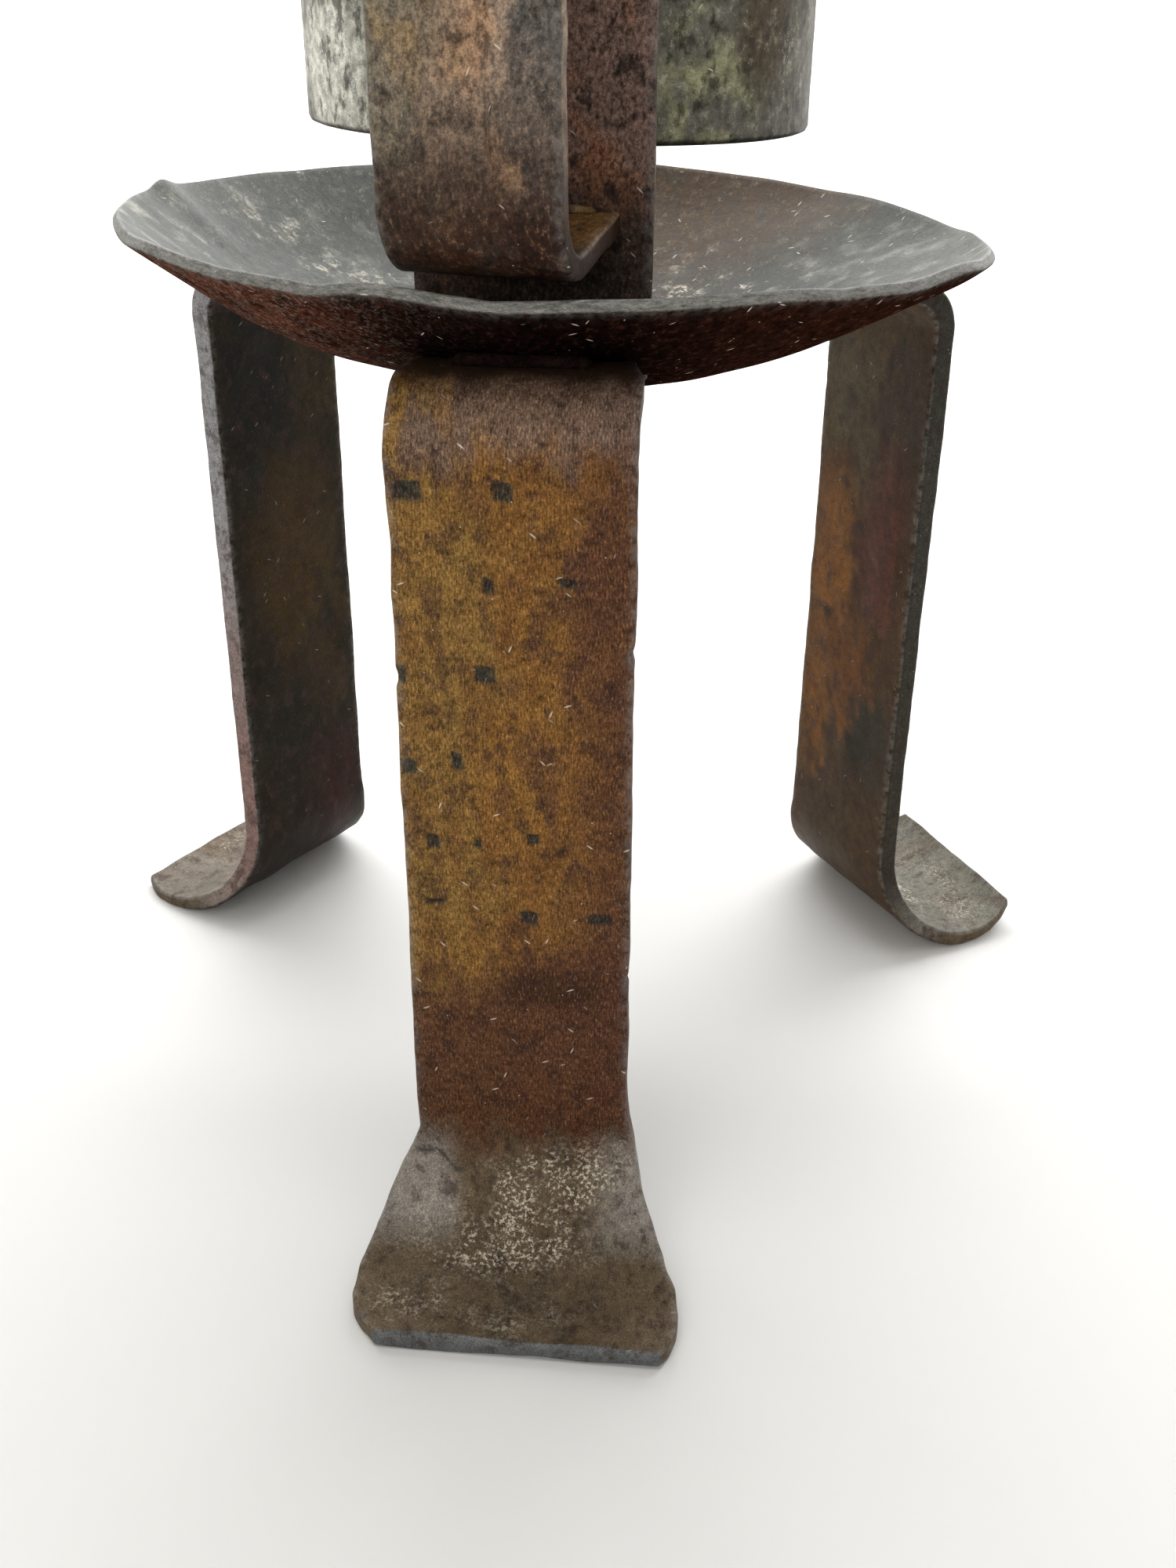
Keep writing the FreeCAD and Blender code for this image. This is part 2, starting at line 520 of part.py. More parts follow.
# Cup: a tube with rounded edges.
def candle_cup():
    body = doc.addObject("PartDesign::Body", "candle_cup")
    sketch = new_sketch(body, "cup_section", "XZ_Plane")
    low = (cup_bore, cup_base)
    high = (size["cup_radius"], cup_base + size["cup_height"])
    first = rectangle(sketch, low, high)
    bind(sketch, "outside", "sizes.cup_radius", "DistanceX", -1, 1, first, 2, high[0])
    bind(sketch, "wall", "sizes.cup_wall", "DistanceX", first, 1, first, 2, size["cup_wall"])
    bind(sketch, "base", CUP_BASE, "DistanceY", -1, 1, first, 1, low[1])
    bind(sketch, "height", "sizes.cup_height", "DistanceY", first + 1, 1, first + 1, 2, size["cup_height"])
    tube = revolve(body, sketch)
    doc.recompute()
    rims = ["Edge%d" % number for number, edge in enumerate(tube.Shape.Edges, start=1)
            if abs(edge.BoundBox.XMax - size["cup_radius"]) < 1e-6 and edge.BoundBox.ZLength < 1e-6]
    round_off = body.newObject("PartDesign::Fillet", "cup_edges")
    round_off.Base = (tube, rims)
    round_off.setExpression("Radius", "sizes.cup_edge_radius")
    body.Placement = turned(0)
    return finish(body, "candle_cup")


# Floor: a disc inside the cup, with a hole for the spike's tenon.
def cup_floor():
    body = doc.addObject("PartDesign::Body", "cup_floor")
    sketch = new_sketch(body, "floor_section", "XZ_Plane")
    hole = size["tenon_radius"] + size["tenon_clearance"]
    edge = cup_bore - size["floor_clearance"]
    first = rectangle(sketch, (hole, floor_under), (edge, floor_top))
    bind(sketch, "hole", "sizes.tenon_radius + sizes.tenon_clearance", "DistanceX", -1, 1, first, 1, hole)
    bind(sketch, "edge", "sizes.cup_radius - sizes.cup_wall - sizes.floor_clearance",
         "DistanceX", -1, 1, first, 2, edge)
    bind(sketch, "under", FLOOR_UNDER, "DistanceY", -1, 1, first, 1, floor_under)
    bind(sketch, "thickness", "sizes.floor_thickness",
         "DistanceY", first + 1, 1, first + 1, 2, size["floor_thickness"])
    revolve(body, sketch)
    body.Placement = turned(0)
    return finish(body, "cup_floor")


# Spike: riveted head, tenon, collar and point, turned in one piece.
def candle_spike():
    body = doc.addObject("PartDesign::Body", "candle_spike")
    sketch = new_sketch(body, "spike_section", "XZ_Plane")
    head, tenon, collar = size["rivet_head_radius"], size["tenon_radius"], size["collar_radius"]
    base, tip = size["spike_radius"], size["spike_tip_radius"]
    head_low = floor_under - size["rivet_head_height"]
    collar_top = floor_top + size["collar_thickness"]
    point = collar_top + size["spike_length"]
    outline = [(0, head_low), (head, head_low), (head, floor_under), (tenon, floor_under),
               (tenon, floor_top), (collar, floor_top), (collar, collar_top), (base, collar_top),
               (tip, point), (0, point)]
    first = polygon(sketch, outline)
    ways = ("Horizontal", "Vertical") * 3 + ("Horizontal", None, "Horizontal", "Vertical")
    for step, way in enumerate(ways):
        if way:
            sketch.addConstraint(Sketcher.Constraint(way, first + step))
    sketch.addConstraint(Sketcher.Constraint("PointOnObject", first, 1, -2))
    under = FLOOR_UNDER
    top = under + " + sizes.floor_thickness"
    reaches = (("head", "sizes.rivet_head_radius", 1), ("tenon", "sizes.tenon_radius", 3),
               ("collar", "sizes.collar_radius", 5), ("base", "sizes.spike_radius", 7),
               ("tip", "sizes.spike_tip_radius", 8))
    for name, expression, corner in reaches:
        bind(sketch, name, expression, "DistanceX", -1, 1, first + corner, 1, outline[corner][0])
    heights = (("head_low", under + " - sizes.rivet_head_height", 0), ("under", under, 2), ("top", top, 4),
               ("collar_top", top + " + sizes.collar_thickness", 6),
               ("point", top + " + sizes.collar_thickness + sizes.spike_length", 8))
    for name, expression, corner in heights:
        bind(sketch, name, expression, "DistanceY", -1, 1, first + corner, 1, outline[corner][1])
    revolve(body, sketch)
    body.Placement = turned(0)
    return finish(body, "candle_spike")


# Ring weld in the corner between the cup's bore and the underside of its floor.
def floor_weld_bead():
    body = doc.addObject("PartDesign::Body", "floor_weld_bead")
    sketch = new_sketch(body, "ring_section", "XZ_Plane")
    ring = size["ring_bead_leg"]
    corner = (cup_bore, floor_under)
    first = polygon(sketch, [corner, (cup_bore - ring, floor_under), (cup_bore, floor_under - ring)])
    sketch.addConstraint(Sketcher.Constraint("Horizontal", first))
    sketch.addConstraint(Sketcher.Constraint("Vertical", first + 2))
    bind(sketch, "bore", "sizes.cup_radius - sizes.cup_wall", "DistanceX", -1, 1, first, 1, cup_bore)
    bind(sketch, "under", FLOOR_UNDER, "DistanceY", -1, 1, first, 1, floor_under)
    bind(sketch, "across", "sizes.ring_bead_leg", "DistanceX", first, 2, first, 1, ring)
    bind(sketch, "down", "sizes.ring_bead_leg", "DistanceY", first + 2, 1, first + 2, 2, ring)
    revolve(body, sketch)
    body.Placement = turned(0)
    return finish(body, "floor_weld_bead")


def rod(name, radius, length, middle, direction):
    """A round rod centred on a point, the raw form of a weld bead."""
    item = doc.addObject("Part::Cylinder", name)
    item.setExpression("Radius", "sizes." + radius)
    item.setExpression("Height", "sizes." + length)
    start = middle - direction * (size[length] / 2)
    item.Placement = FreeCAD.Placement(start, FreeCAD.Rotation(UP, direction))
    return item


def sphere(name, expression):
    item = doc.addObject("Part::Sphere", name)
    item.Placement = turned(0)
    item.setExpression("Radius", expression)
    item.setExpression("Placement.Base.z", BALL_HEIGHT)
    return item


def boolean(kind, base, tool):
    item = doc.addObject(kind, base.Name + "_trimmed")
    if kind == "Part::Cut":
        item.Base, item.Tool = base, tool
    else:
        item.Shapes = [base, tool]
    return item


def group(label, items):
    item = doc.addObject("Part::Compound", label)
    item.Links = items
    return finish(item, label)


def under_dish(along):
    """A point on the underside of the dish, in the frame of a leg."""
    return Vector(along, 0, ball_height - math.sqrt(ball_radius ** 2 - along ** 2))


# A bead in the wedge between the dish and the upper face of each leg's tab.
def leg_weld_beads(legs):
    ball = sphere("dish_ball", BALL)
    meet = size["leg_reach"] - size["shoulder_radius"] - size["tab_bare"]
    upper, lower = under_dish(meet + size["leg_bead_offset"]), under_dish(meet)
    middle = Vector(upper.x, 0, (upper.z + lower.z) / 2)
    beads = []
    for body, angle in legs:
        place = turned(angle)
        direction = place.Rotation.multVec(Vector(0, 1, 0))
        bead = rod("leg_bead", "leg_bead_radius", "leg_bead_length", place.multVec(middle), direction)
        beads.append(boolean("Part::Cut", boolean("Part::Cut", bead, ball), body))
    return group("leg_weld_beads", beads)


# Beads in front of and behind the upright's foot, lying in the bowl.
def upright_weld_beads(upright):
    bowl = sphere("bowl_ball", BALL + " - sizes.dish_sheet")
    place = turned(front_angle)
    beads = []
    for reach in (size["cup_radius"], upright_face):
        height = ball_height - math.sqrt(bowl_radius ** 2 - reach ** 2)
        middle = place.multVec(Vector(reach, 0, height))
        direction = place.Rotation.multVec(Vector(0, 1, 0))
        bead = rod("upright_bead", "foot_bead_radius", "foot_bead_length", middle, direction)
        beads.append(boolean("Part::Cut", boolean("Part::MultiCommon", bead, bowl), upright))
    return group("upright_weld_beads", beads)


# Beads in the wedges between the cup's round wall and the upright's flat back.
def cup_weld_beads():
    body = doc.addObject("PartDesign::Body", "cup_bead")
    sketch = new_sketch(body, "cup_bead_section", "XY_Plane")
    radius = size["cup_radius"]
    near, far = size["cup_bead_start"], size["cup_bead_start"] + size["cup_bead_width"]
    on_wall = [(math.sqrt(radius ** 2 - across ** 2), across) for across in (near, far)]
    first = polygon(sketch, [on_wall[0], (radius, near), (radius, far), on_wall[1]], False)
    wall = sketch.addGeometry(arc((0, 0), *on_wall, True))
    sketch.addConstraint(Sketcher.Constraint("Coincident", wall, 1, first, 1))
    sketch.addConstraint(Sketcher.Constraint("Coincident", wall, 2, first + 2, 2))
    sketch.addConstraint(Sketcher.Constraint("Coincident", wall, 3, -1, 1))
    for step, way in enumerate(("Horizontal", "Vertical", "Horizontal")):
        sketch.addConstraint(Sketcher.Constraint(way, first + step))
    bind(sketch, "wall", "sizes.cup_radius", "Radius", wall, radius)
    bind(sketch, "back", "sizes.cup_radius", "DistanceX", -1, 1, first + 1, 1, radius)
    bind(sketch, "near", "sizes.cup_bead_start", "DistanceY", -1, 1, first + 1, 1, near)
    bind(sketch, "wide", "sizes.cup_bead_width", "DistanceY", first + 1, 1, first + 1, 2, far - near)
    pad(body, sketch, "sizes.cup_bead_length", False)
    body.Placement = turned(front_angle, Vector(0, 0, cup_base + size["cup_bead_lift"]))
    other = doc.addObject("Part::Mirroring", "cup_bead_other")
    other.Source = body
    other.Base = AXIS
    face = math.radians(front_angle)
    other.Normal = Vector(-math.sin(face), math.cos(face), 0)
    return group("cup_weld_beads", [body, other])


# Beads on the inner side of both handle arms, where they meet the upright.
def handle_braze_beads(handle, upright):
    place = turned(front_angle)
    rise = size["handle_thickness"] / math.cos(math.radians(size["arm_slope"]))
    beads = []
    for height in (handle_low + rise, handle_high - rise):
        middle = place.multVec(Vector(upright_face, 0, height))
        direction = place.Rotation.multVec(Vector(0, 1, 0))
        bead = rod("handle_bead", "braze_radius", "braze_length", middle, direction)
        beads.append(boolean("Part::Cut", boolean("Part::Cut", bead, upright), handle))
    return group("handle_braze_beads", beads)


drip_dish()
legs = [(leg(label, angle), angle) for label, angle in leg_angles.items()]
upright = upright_strap()
handle = carrying_handle()
candle_cup()
cup_floor()
candle_spike()
floor_weld_bead()
leg_weld_beads(legs)
upright_weld_beads(upright)
cup_weld_beads()
handle_braze_beads(handle, upright)
doc.recompute()

# Nothing is written unless every object is sound.
for item in doc.Objects:
    faults = [word for word in item.State if word in ("Invalid", "Error")]
    if faults:
        raise RuntimeError("%s is %s" % (item.Label, ", ".join(faults)))
os.makedirs("parts", exist_ok=True)
for node in nodes:
    shape = node.Shape
    if shape.isNull() or not shape.isValid() or not shape.Solids:
        raise RuntimeError("%s has no sound shape" % node.Label)
    print("%-20s solids %d volume %.0f" % (node.Label, len(shape.Solids), shape.Volume))
    shape.exportStep("parts/%s.step" % node.Label)
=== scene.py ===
import math
import bpy
import numpy as np
from mathutils import Matrix, Vector


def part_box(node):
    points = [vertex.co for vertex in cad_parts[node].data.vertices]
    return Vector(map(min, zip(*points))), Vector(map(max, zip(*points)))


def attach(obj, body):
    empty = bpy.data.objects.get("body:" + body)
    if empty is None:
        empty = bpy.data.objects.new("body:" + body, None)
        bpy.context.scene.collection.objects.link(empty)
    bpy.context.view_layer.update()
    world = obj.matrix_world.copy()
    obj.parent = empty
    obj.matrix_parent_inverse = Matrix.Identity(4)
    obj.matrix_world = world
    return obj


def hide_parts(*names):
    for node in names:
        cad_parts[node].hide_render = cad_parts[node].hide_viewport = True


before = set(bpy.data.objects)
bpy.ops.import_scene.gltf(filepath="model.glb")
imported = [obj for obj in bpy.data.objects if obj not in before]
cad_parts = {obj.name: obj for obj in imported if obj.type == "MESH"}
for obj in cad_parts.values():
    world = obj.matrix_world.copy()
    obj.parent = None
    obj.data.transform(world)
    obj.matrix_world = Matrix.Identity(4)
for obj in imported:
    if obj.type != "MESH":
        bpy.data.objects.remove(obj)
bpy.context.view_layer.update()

# Forged candle stand. Sizes are in millimetres from the dish's axis, angles in degrees, pieces in metres.
MM = 0.001
BALL, BALL_HEIGHT, SHEET = 137.207, 288.707, 2.5  # outside of the dish, a cap of a ball of sheet
BAR, BAR_HALF = 5.0, 20.0  # thickness and half width of the legs and the upright
LEG_REACH, TAB_START, TAB_HEIGHT = 85.0, 58.0, 168.2
SHOULDER, ANKLE, TOE = 12.0, 19.5, 47.5  # bends, on a leg's outer face
REST, SOLE_WEAR, SOLE_LAYER = 25.3, 0.2, 0.2
FRONT = -95.0  # where the front leg and the upright stand
LEGS = {"front_leg": FRONT, "right_leg": FRONT + 120, "left_leg": FRONT + 240}
CUP_RADIUS, CUP_WALL, CUP_LOW, CUP_HIGH = 47.3, 2.5, 199.0, 299.0
UPRIGHT_FACE, UPRIGHT_TOP = CUP_RADIUS + BAR, 293.0
HANDLE_TURN, HANDLE_REACH, HANDLE_BEND = -11.0, 33.0, 12.0
HANDLE_BAR, HANDLE_HALF = 4.0, 14.5  # thickness and half width
HANDLE_LOW, HANDLE_HIGH, ARM_SLOPE = 185.6, 286.4, math.radians(8)

low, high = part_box("candle_cup")
AXIS = np.array([(low.x + high.x) / 2, (low.y + high.y) / 2, 0.0])


# Repeatable noise

CELL_PRIMES, SEED_PRIME, SEED_START = (73856093, 19349663, 83492791), 40503, 977
STIR = ((13, 1274126177), (11, 668265263))  # shifts and factors that scatter the values
POSITIVE, LOW_BITS = 0x7FFFFFFF, 0xFFFF
OCTAVE_SHIFT = 31.7


def cell_value(cells, seed):
    """A number from -1 to 1 that belongs to each whole-number cell."""
    first, second, third = (cells[:, i] * prime for i, prime in enumerate(CELL_PRIMES))
    key = (first ^ second ^ third ^ (seed * SEED_PRIME + SEED_START)) & POSITIVE
    for shift, prime in STIR:
        key = (key ^ key >> shift) * prime & POSITIVE
    return (key >> 7 & LOW_BITS) / (LOW_BITS / 2) - 1.0


def noise(points, scale, seed, octaves=1):
    """Smooth noise from about -1 to 1; scale is in cells to the millimetre, one number or one an axis."""
    total, weight = np.zeros(len(points)), 1.0
    for octave in range(octaves):
        spots = points * np.asarray(scale) * 2 ** octave + OCTAVE_SHIFT * octave
        base = np.floor(spots).astype(np.int64)
        part = spots - base
        part = part * part * (3 - 2 * part)
        for corner in range(8):
            bits = np.array([corner & 1, corner >> 1 & 1, corner >> 2])
            share = np.prod(np.where(bits, part, 1 - part), axis=1)
            total += weight * share * cell_value(base + bits, seed + octave)
        weight *= 0.5
    return total


def step(values, start, end):
    """Goes smoothly from 0 at start to 1 at end."""
    share = np.clip((values - start) / (end - start), 0, 1)
    return share * share * (3 - 2 * share)


# Colours

def rgb(*values):
    """Linear light of a colour that is given as it looks, from 0 to 255."""
    share = np.array(values) / 255
    return np.where(share < 0.04045, share / 12.92, ((share + 0.055) / 1.055) ** 2.4)


def blend(colours, share, colour):
    """Moves colours towards one colour by a share for each point."""
    share = np.clip(share, 0, 1)[:, None]
    return colours * (1 - share) + colour * share


def layers(tint, coats):
    """A colour with others laid over it, each by a share for each point."""
    for share, colour in coats:
        tint = blend(tint, share, colour)
    return tint


def spot(u, v, centre, reach):
    """1 in the middle of an oval patch, 0 outside it."""
    away = np.hypot((u - centre[0]) / reach[0], (v - centre[1]) / reach[1])
    return 1 - step(away, 0.3, 1.0)


# Meshes

def add_object(name, data):
    item = bpy.data.objects.new(name, data)
    bpy.context.scene.collection.objects.link(item)
    return item


def set_attribute(mesh, name, kind, field, values):
    attribute = mesh.attributes.new(name, kind, "POINT")
    attribute.data.foreach_set(field, values.astype(np.float32).ravel())


def make_piece(name, points, faces, tint, coords, wear_and_glint, replaced, material,
               frost=None, under=None, grain=None):
    """A smooth mesh with its colour, surface coordinates, wear with a painted edge highlight, and pale
    specks, riding on the one body.
    under is a second material and the faces that have it; grain is how strongly each point shows grain."""
    grain = np.ones(len(tint)) if grain is None else grain
    mesh = bpy.data.meshes.new(name)
    mesh.from_pydata(((points * MM) + AXIS).tolist(), [], faces)
    mesh.shade_smooth()
    set_attribute(mesh, "tint", "FLOAT_COLOR", "color", np.column_stack([tint, grain]))
    set_attribute(mesh, "bar", "FLOAT_VECTOR", "vector", coords)
    set_attribute(mesh, "wear_and_glint", "FLOAT", "value", np.clip(wear_and_glint, 0, 1))
    mesh.materials.append(material)
    if frost is not None:
        set_attribute(mesh, "frost", "FLOAT", "value", np.clip(frost, 0, 1))
    if under is not None:
        mesh.materials.append(under[0])
        mesh.polygons.foreach_set("material_index", under[1].astype(np.int32))
    piece = add_object(name, mesh)
    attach(piece, "root")
    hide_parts(replaced)


def line_points(start, end, normal, spacing):
    start, end = np.array(start), np.array(end)
    count = max(2, int(np.linalg.norm(end - start) / spacing))
    share = np.linspace(0, 1, count)[:, None]
    return start + share * (end - start), np.tile(normal, (count, 1))


def arc_points(centre, radius, first, last, hollow, spacing):
    """Points on an arc and the way they look: to the centre on a hollow side, else away from it."""
    count = max(3, int(abs(last - first) * radius / spacing))
    angles = np.linspace(first, last, count)
    ways = np.column_stack([np.cos(angles), np.sin(angles)])
    return np.array(centre) + radius * ways, -ways if hollow else ways


def unit(ways):
    return ways / np.linalg.norm(ways, axis=1)[:, None]


def way_along(points):
    """How far along its path each point lies."""
    return np.concatenate([[0], np.cumsum(np.linalg.norm(np.diff(points, axis=0), axis=1))])


def join(parts):
    """One path of several: points, the way they look, and the way along."""
    points, normals = [np.concatenate([part[row][min(i, 1):] for i, part in enumerate(parts)])
                       for row in (0, 1)]
    return points, normals, way_along(points)


def rounded_ends(path, radius):
    """A path with closer rounds near both ends, and how far each round shrinks there."""
    points, normals, along = path
    ends = np.array([0.15, 0.4, 0.75, 1.0]) * radius
    inset = radius - np.sqrt(radius ** 2 - (radius - ends) ** 2)
    keep = (along > ends[-1]) & (along < along[-1] - ends[-1])
    wanted = np.concatenate([ends, along[keep], along[-1] - ends[::-1]])
    shrink = np.concatenate([inset, np.zeros(keep.sum()), inset[::-1]])
    spots, facing = [np.column_stack([np.interp(wanted, along, row) for row in rows.T])
                     for rows in (points, normals)]
    return spots, unit(facing), wanted, shrink


SIDE_COUNT, CORNER = 5, np.radians([60, 30])  # points on a narrow side; angles at a corner


def ring_pattern(face_count):
    """One round of a bar's section: share across, share through, and the angle its skin looks to."""
    across, side = np.linspace(0, 1, face_count), np.linspace(0, 1, SIDE_COUNT)
    one, pair = np.ones_like, np.ones(2)
    share = [across, pair, one(side), pair, 1 - across, 0 * pair, 0 * side, 0 * pair]
    depth = [one(across), pair, 1 - side, 0 * pair, 0 * across, 0 * pair, side, pair]
    looks = [one(across) * math.pi / 2, CORNER, 0 * side, -CORNER[::-1], -one(across) * math.pi / 2,
             CORNER - math.pi, one(side) * math.pi, math.pi - CORNER[::-1]]
    return np.concatenate(share), np.concatenate(depth), np.concatenate(looks)


def spread(first, last, share, rim, way):
    """A round's points between two limits, with its corners rounded."""
    return first[:, None] + share * (last - first)[:, None] + rim[:, None] * way


FACE_LEAN = 0.3  # a skin that leans more lies on a broad face


class Bar:
    """A bent flat bar: rounds of its section set along a path in an upright plane."""

    def __init__(self, path, angle, pivot, halves, thickness, full, edge, face_count, end=None):
        share, depth, looks = ring_pattern(face_count)
        points, normals, along, shrink = rounded_ends(path, end or edge)
        turn = math.radians(angle)
        out, up = np.array([math.cos(turn), math.sin(turn), 0]), np.array([0, 0, 1.0])
        self.side = np.array([-math.sin(turn), math.cos(turn), 0])
        left, right = [np.interp(along, *half) for half in halves]
        thick = np.interp(along, *thickness)
        rim = np.minimum(edge, thick / 2 - 0.05)
        limits = -left + shrink + rim, right - shrink - rim
        across = spread(*limits, share, rim, np.cos(looks))
        through = spread(shrink + rim, thick - shrink - rim, depth, rim, np.sin(looks))
        spine = np.array(pivot) + points[:, :1] * out + points[:, 1:] * up
        facing = normals[:, :1] * out + normals[:, 1:] * up
        self.points = (spine[:, None] + across[..., None] * self.side
                       + (through - full)[..., None] * facing[:, None]).reshape(-1, 3)
        skin = np.cos(looks)[None, :, None] * self.side + np.sin(looks)[None, :, None] * facing[:, None]
        self.skin = skin.reshape(-1, 3)
        self.tangent = np.repeat(np.cross(self.side, facing), len(looks), axis=0)
        self.rounds, self.per_round = len(along), len(looks)
        self.across, self.along = across.ravel(), np.repeat(along, len(looks))
        self.face = np.tile(np.round(np.sin(looks), 3), len(along))
        self.outer, self.inner = self.face > FACE_LEAN, self.face < -FACE_LEAN
        self.coords = np.column_stack([self.across, self.along, through.ravel()])
        self.flat = self.coords * np.array([1, 1, 0.4])
        self.wear_and_glint = self._wear_and_glint(limits, looks)

    def _wear_and_glint(self, limits, looks):
        """Bare on the corners, and a little on the broad faces beside them: partly wear, partly a painted
        highlight along the edges.
        """
        corner = np.tile(np.abs(np.sin(2 * looks)), self.rounds)
        away = [np.abs(self.across - np.repeat(limit, self.per_round)) for limit in limits]
        # a thin bright line beside each edge: partly wear, partly a painted highlight
        near = np.exp(-np.minimum(*away) / 0.5)
        return np.maximum(0.6 * corner, 0.4 * near * (np.abs(self.face) > 0.9))

    def edge_wave(self, pitch, seed):
        """Noise along each of the two edges; pitch is cells to the millimetre."""
        rows = np.column_stack([np.sign(self.across), self.along, 0 * self.along])
        return noise(rows, (3, pitch, 1), seed, 3)

    def push(self, amount):
        """Moves the skin outwards by an amount for each point."""
        self.points += self.skin * amount[:, None]

    def shear(self, amount):
        """Moves points along the bar."""
        self.points += self.tangent * amount[:, None]

    def faces(self):
        grid = np.arange(self.rounds * self.per_round).reshape(self.rounds, self.per_round)
        quads = round_faces(grid)[:, [0, 3, 2, 1]]
        return quads.tolist() + [grid[0].tolist(), grid[-1][::-1].tolist()]

    def piece(self, node, tint, slot, material, shift=0.0, frost=None, grain=None):
        """The bar as a piece in place of a node; shift sets its grain apart."""
        make_piece(node + "_forged", self.points, self.faces(), tint, self.coords + shift, self.wear_and_glint, node,
                   material, frost, grain=grain)


def revolved(section, count):
    """Points, faces and angles of a closed section turned about the axis."""
    turn = np.linspace(0, 2 * math.pi, count, endpoint=False)
    radius, height = section[:, 0], section[:, 1]
    points = np.stack([radius[:, None] * np.cos(turn), radius[:, None] * np.sin(turn),
                       np.repeat(height[:, None], count, axis=1)], axis=-1)
    grid = np.arange(len(section) * count).reshape(len(section), count)
    return points.reshape(-1, 3), round_faces(np.concatenate([grid, grid[:1]])), np.tile(turn, len(section))


def round_faces(grid):
    """Faces between the rows of a grid, which are closed rounds."""
    beside = np.roll(grid, -1, axis=1)
    return np.stack([grid[:-1], beside[:-1], beside[1:], grid[1:]], axis=-1).reshape(-1, 4)


BEAD_SIDES, BEAD_STEP = 10, 2.1  # points round a bead; length of one ripple


def bead_tube(path, radius, seed, closed=False):
    """A lumpy bead of weld metal along a path."""
    path = np.array(path, float)
    along = way_along(path)
    way = unit(np.roll(path, -1, 0) - np.roll(path, 1, 0) if closed else np.gradient(path, axis=0))
    up = np.where(np.abs(way[:, 2:]) > 0.8, [[1.0, 0, 0]], [[0, 0, 1.0]])
    first = unit(np.cross(way, up))
    second = np.cross(way, first)
    ripple = 1 + 0.11 * np.abs(np.sin(along * math.pi / BEAD_STEP)) + 0.12 * noise(path, 0.45, seed)
    if not closed:
        ripple = ripple * np.sqrt(np.clip(np.minimum(along, along[-1] - along) / (1.2 * radius), 0.02, 1))
    turn = np.linspace(0, 2 * math.pi, BEAD_SIDES, endpoint=False)
    ring = np.cos(turn)[None, :, None] * first[:, None] + np.sin(turn)[None, :, None] * second[:, None]
    points = (path[:, None] + radius * ripple[:, None, None] * ring).reshape(-1, 3)
    grid = np.arange(len(path) * BEAD_SIDES).reshape(len(path), BEAD_SIDES)
    if closed:
        return points, round_faces(np.concatenate([grid, grid[:1]])).tolist()
    return points, round_faces(grid).tolist() + [grid[0][::-1].tolist(), grid[-1].tolist()]


def beads(node, tubes, colour, pale, material, bare=0.25):
    """Several beads as a piece in place of a node, painted with heat marks."""
    points, faces, start = [], [], 0
    for tube_points, tube_faces in tubes:
        points.append(tube_points)
        faces += [[start + corner for corner in face] for face in tube_faces]
        start += len(tube_points)
    points = np.concatenate(points)
    tint = blend(colour, 0.5 + 0.6 * noise(points, 0.6, 91, 2), pale)
    wear_and_glint = bare * (1 + 1.6 * noise(points, 0.8, 92))
    make_piece(node + "_lumpy", points, faces, tint, points, wear_and_glint, node, material)


# Materials

def add(tree, kind, **values):
    """A node, with values for its settings, and values or sockets for its inputs."""
    item = tree.nodes.new("ShaderNode" + kind)
    for name, value in values.items():
        if name in item.bl_rna.properties:
            setattr(item, name, value)
        else:
            feed(item.inputs[name.replace("_", " ")], value)
    return item


def feed(socket, value):
    """Gives a socket another socket's output, a number or a colour."""
    if isinstance(value, bpy.types.NodeSocket):
        socket.id_data.links.new(value, socket)
    elif isinstance(value, (int, float)):
        socket.default_value = value
    else:
        socket.default_value = (*value, 1)


def between(tree, source, start, end, to_start, to_end):
    """A node that carries a range of values over to another one."""
    item = add(tree, "MapRange", Value=source, From_Min=start, From_Max=end, To_Min=to_start, To_Max=to_end)
    return item.outputs["Result"]


def mixed(tree, share, first, second, way="MIX"):
    """The colour first moved to second; each is a socket or a value."""
    item = add(tree, "Mix", data_type="RGBA", blend_type=way)
    for number, value in ((0, share), (6, first), (7, second)):
        feed(item.inputs[number], value)
    return item.outputs[2]


def times(tree, first, second):
    item = add(tree, "Math", operation="MULTIPLY")
    feed(item.inputs[0], first)
    feed(item.inputs[1], second)
    return item.outputs[0]


def stretched(tree, coords, scale, shift=0.0, turn=0.0):
    item = add(tree, "Mapping", vector_type="TEXTURE", Vector=coords)
    item.inputs["Scale"].default_value = [1 / part for part in scale]
    item.inputs["Location"].default_value = (shift, shift, shift)
    item.inputs["Rotation"].default_value = (0, 0, turn)
    return item.outputs["Vector"]


def noise_node(tree, coords, scale, detail, roughness=0.6):
    item = add(tree, "TexNoise", Vector=coords, Scale=scale, Detail=detail, Roughness=roughness)
    return item.outputs["Fac"]


def specks(tree, coords, scale, size, share):
    """1 on scattered specks, of which only a share of the cells has one."""
    item = add(tree, "TexVoronoi", Vector=coords, Scale=scale, Randomness=1.0)
    dot = between(tree, item.outputs["Distance"], size, size * 0.5, 0, 1)
    pick = add(tree, "SeparateColor", Color=item.outputs["Color"])
    chosen = between(tree, pick.outputs[0], 1 - share, 1 - share + 0.02, 0, 1)
    return times(tree, dot, chosen)


def new_material(name):
    """A material, its nodes, and its shader's inputs."""
    material = bpy.data.materials.new(name)
    material.use_nodes = True
    tree = material.node_tree
    return material, tree, tree.nodes["Principled BSDF"].inputs


def attribute(tree, name):
    return add(tree, "Attribute", attribute_name=name).outputs
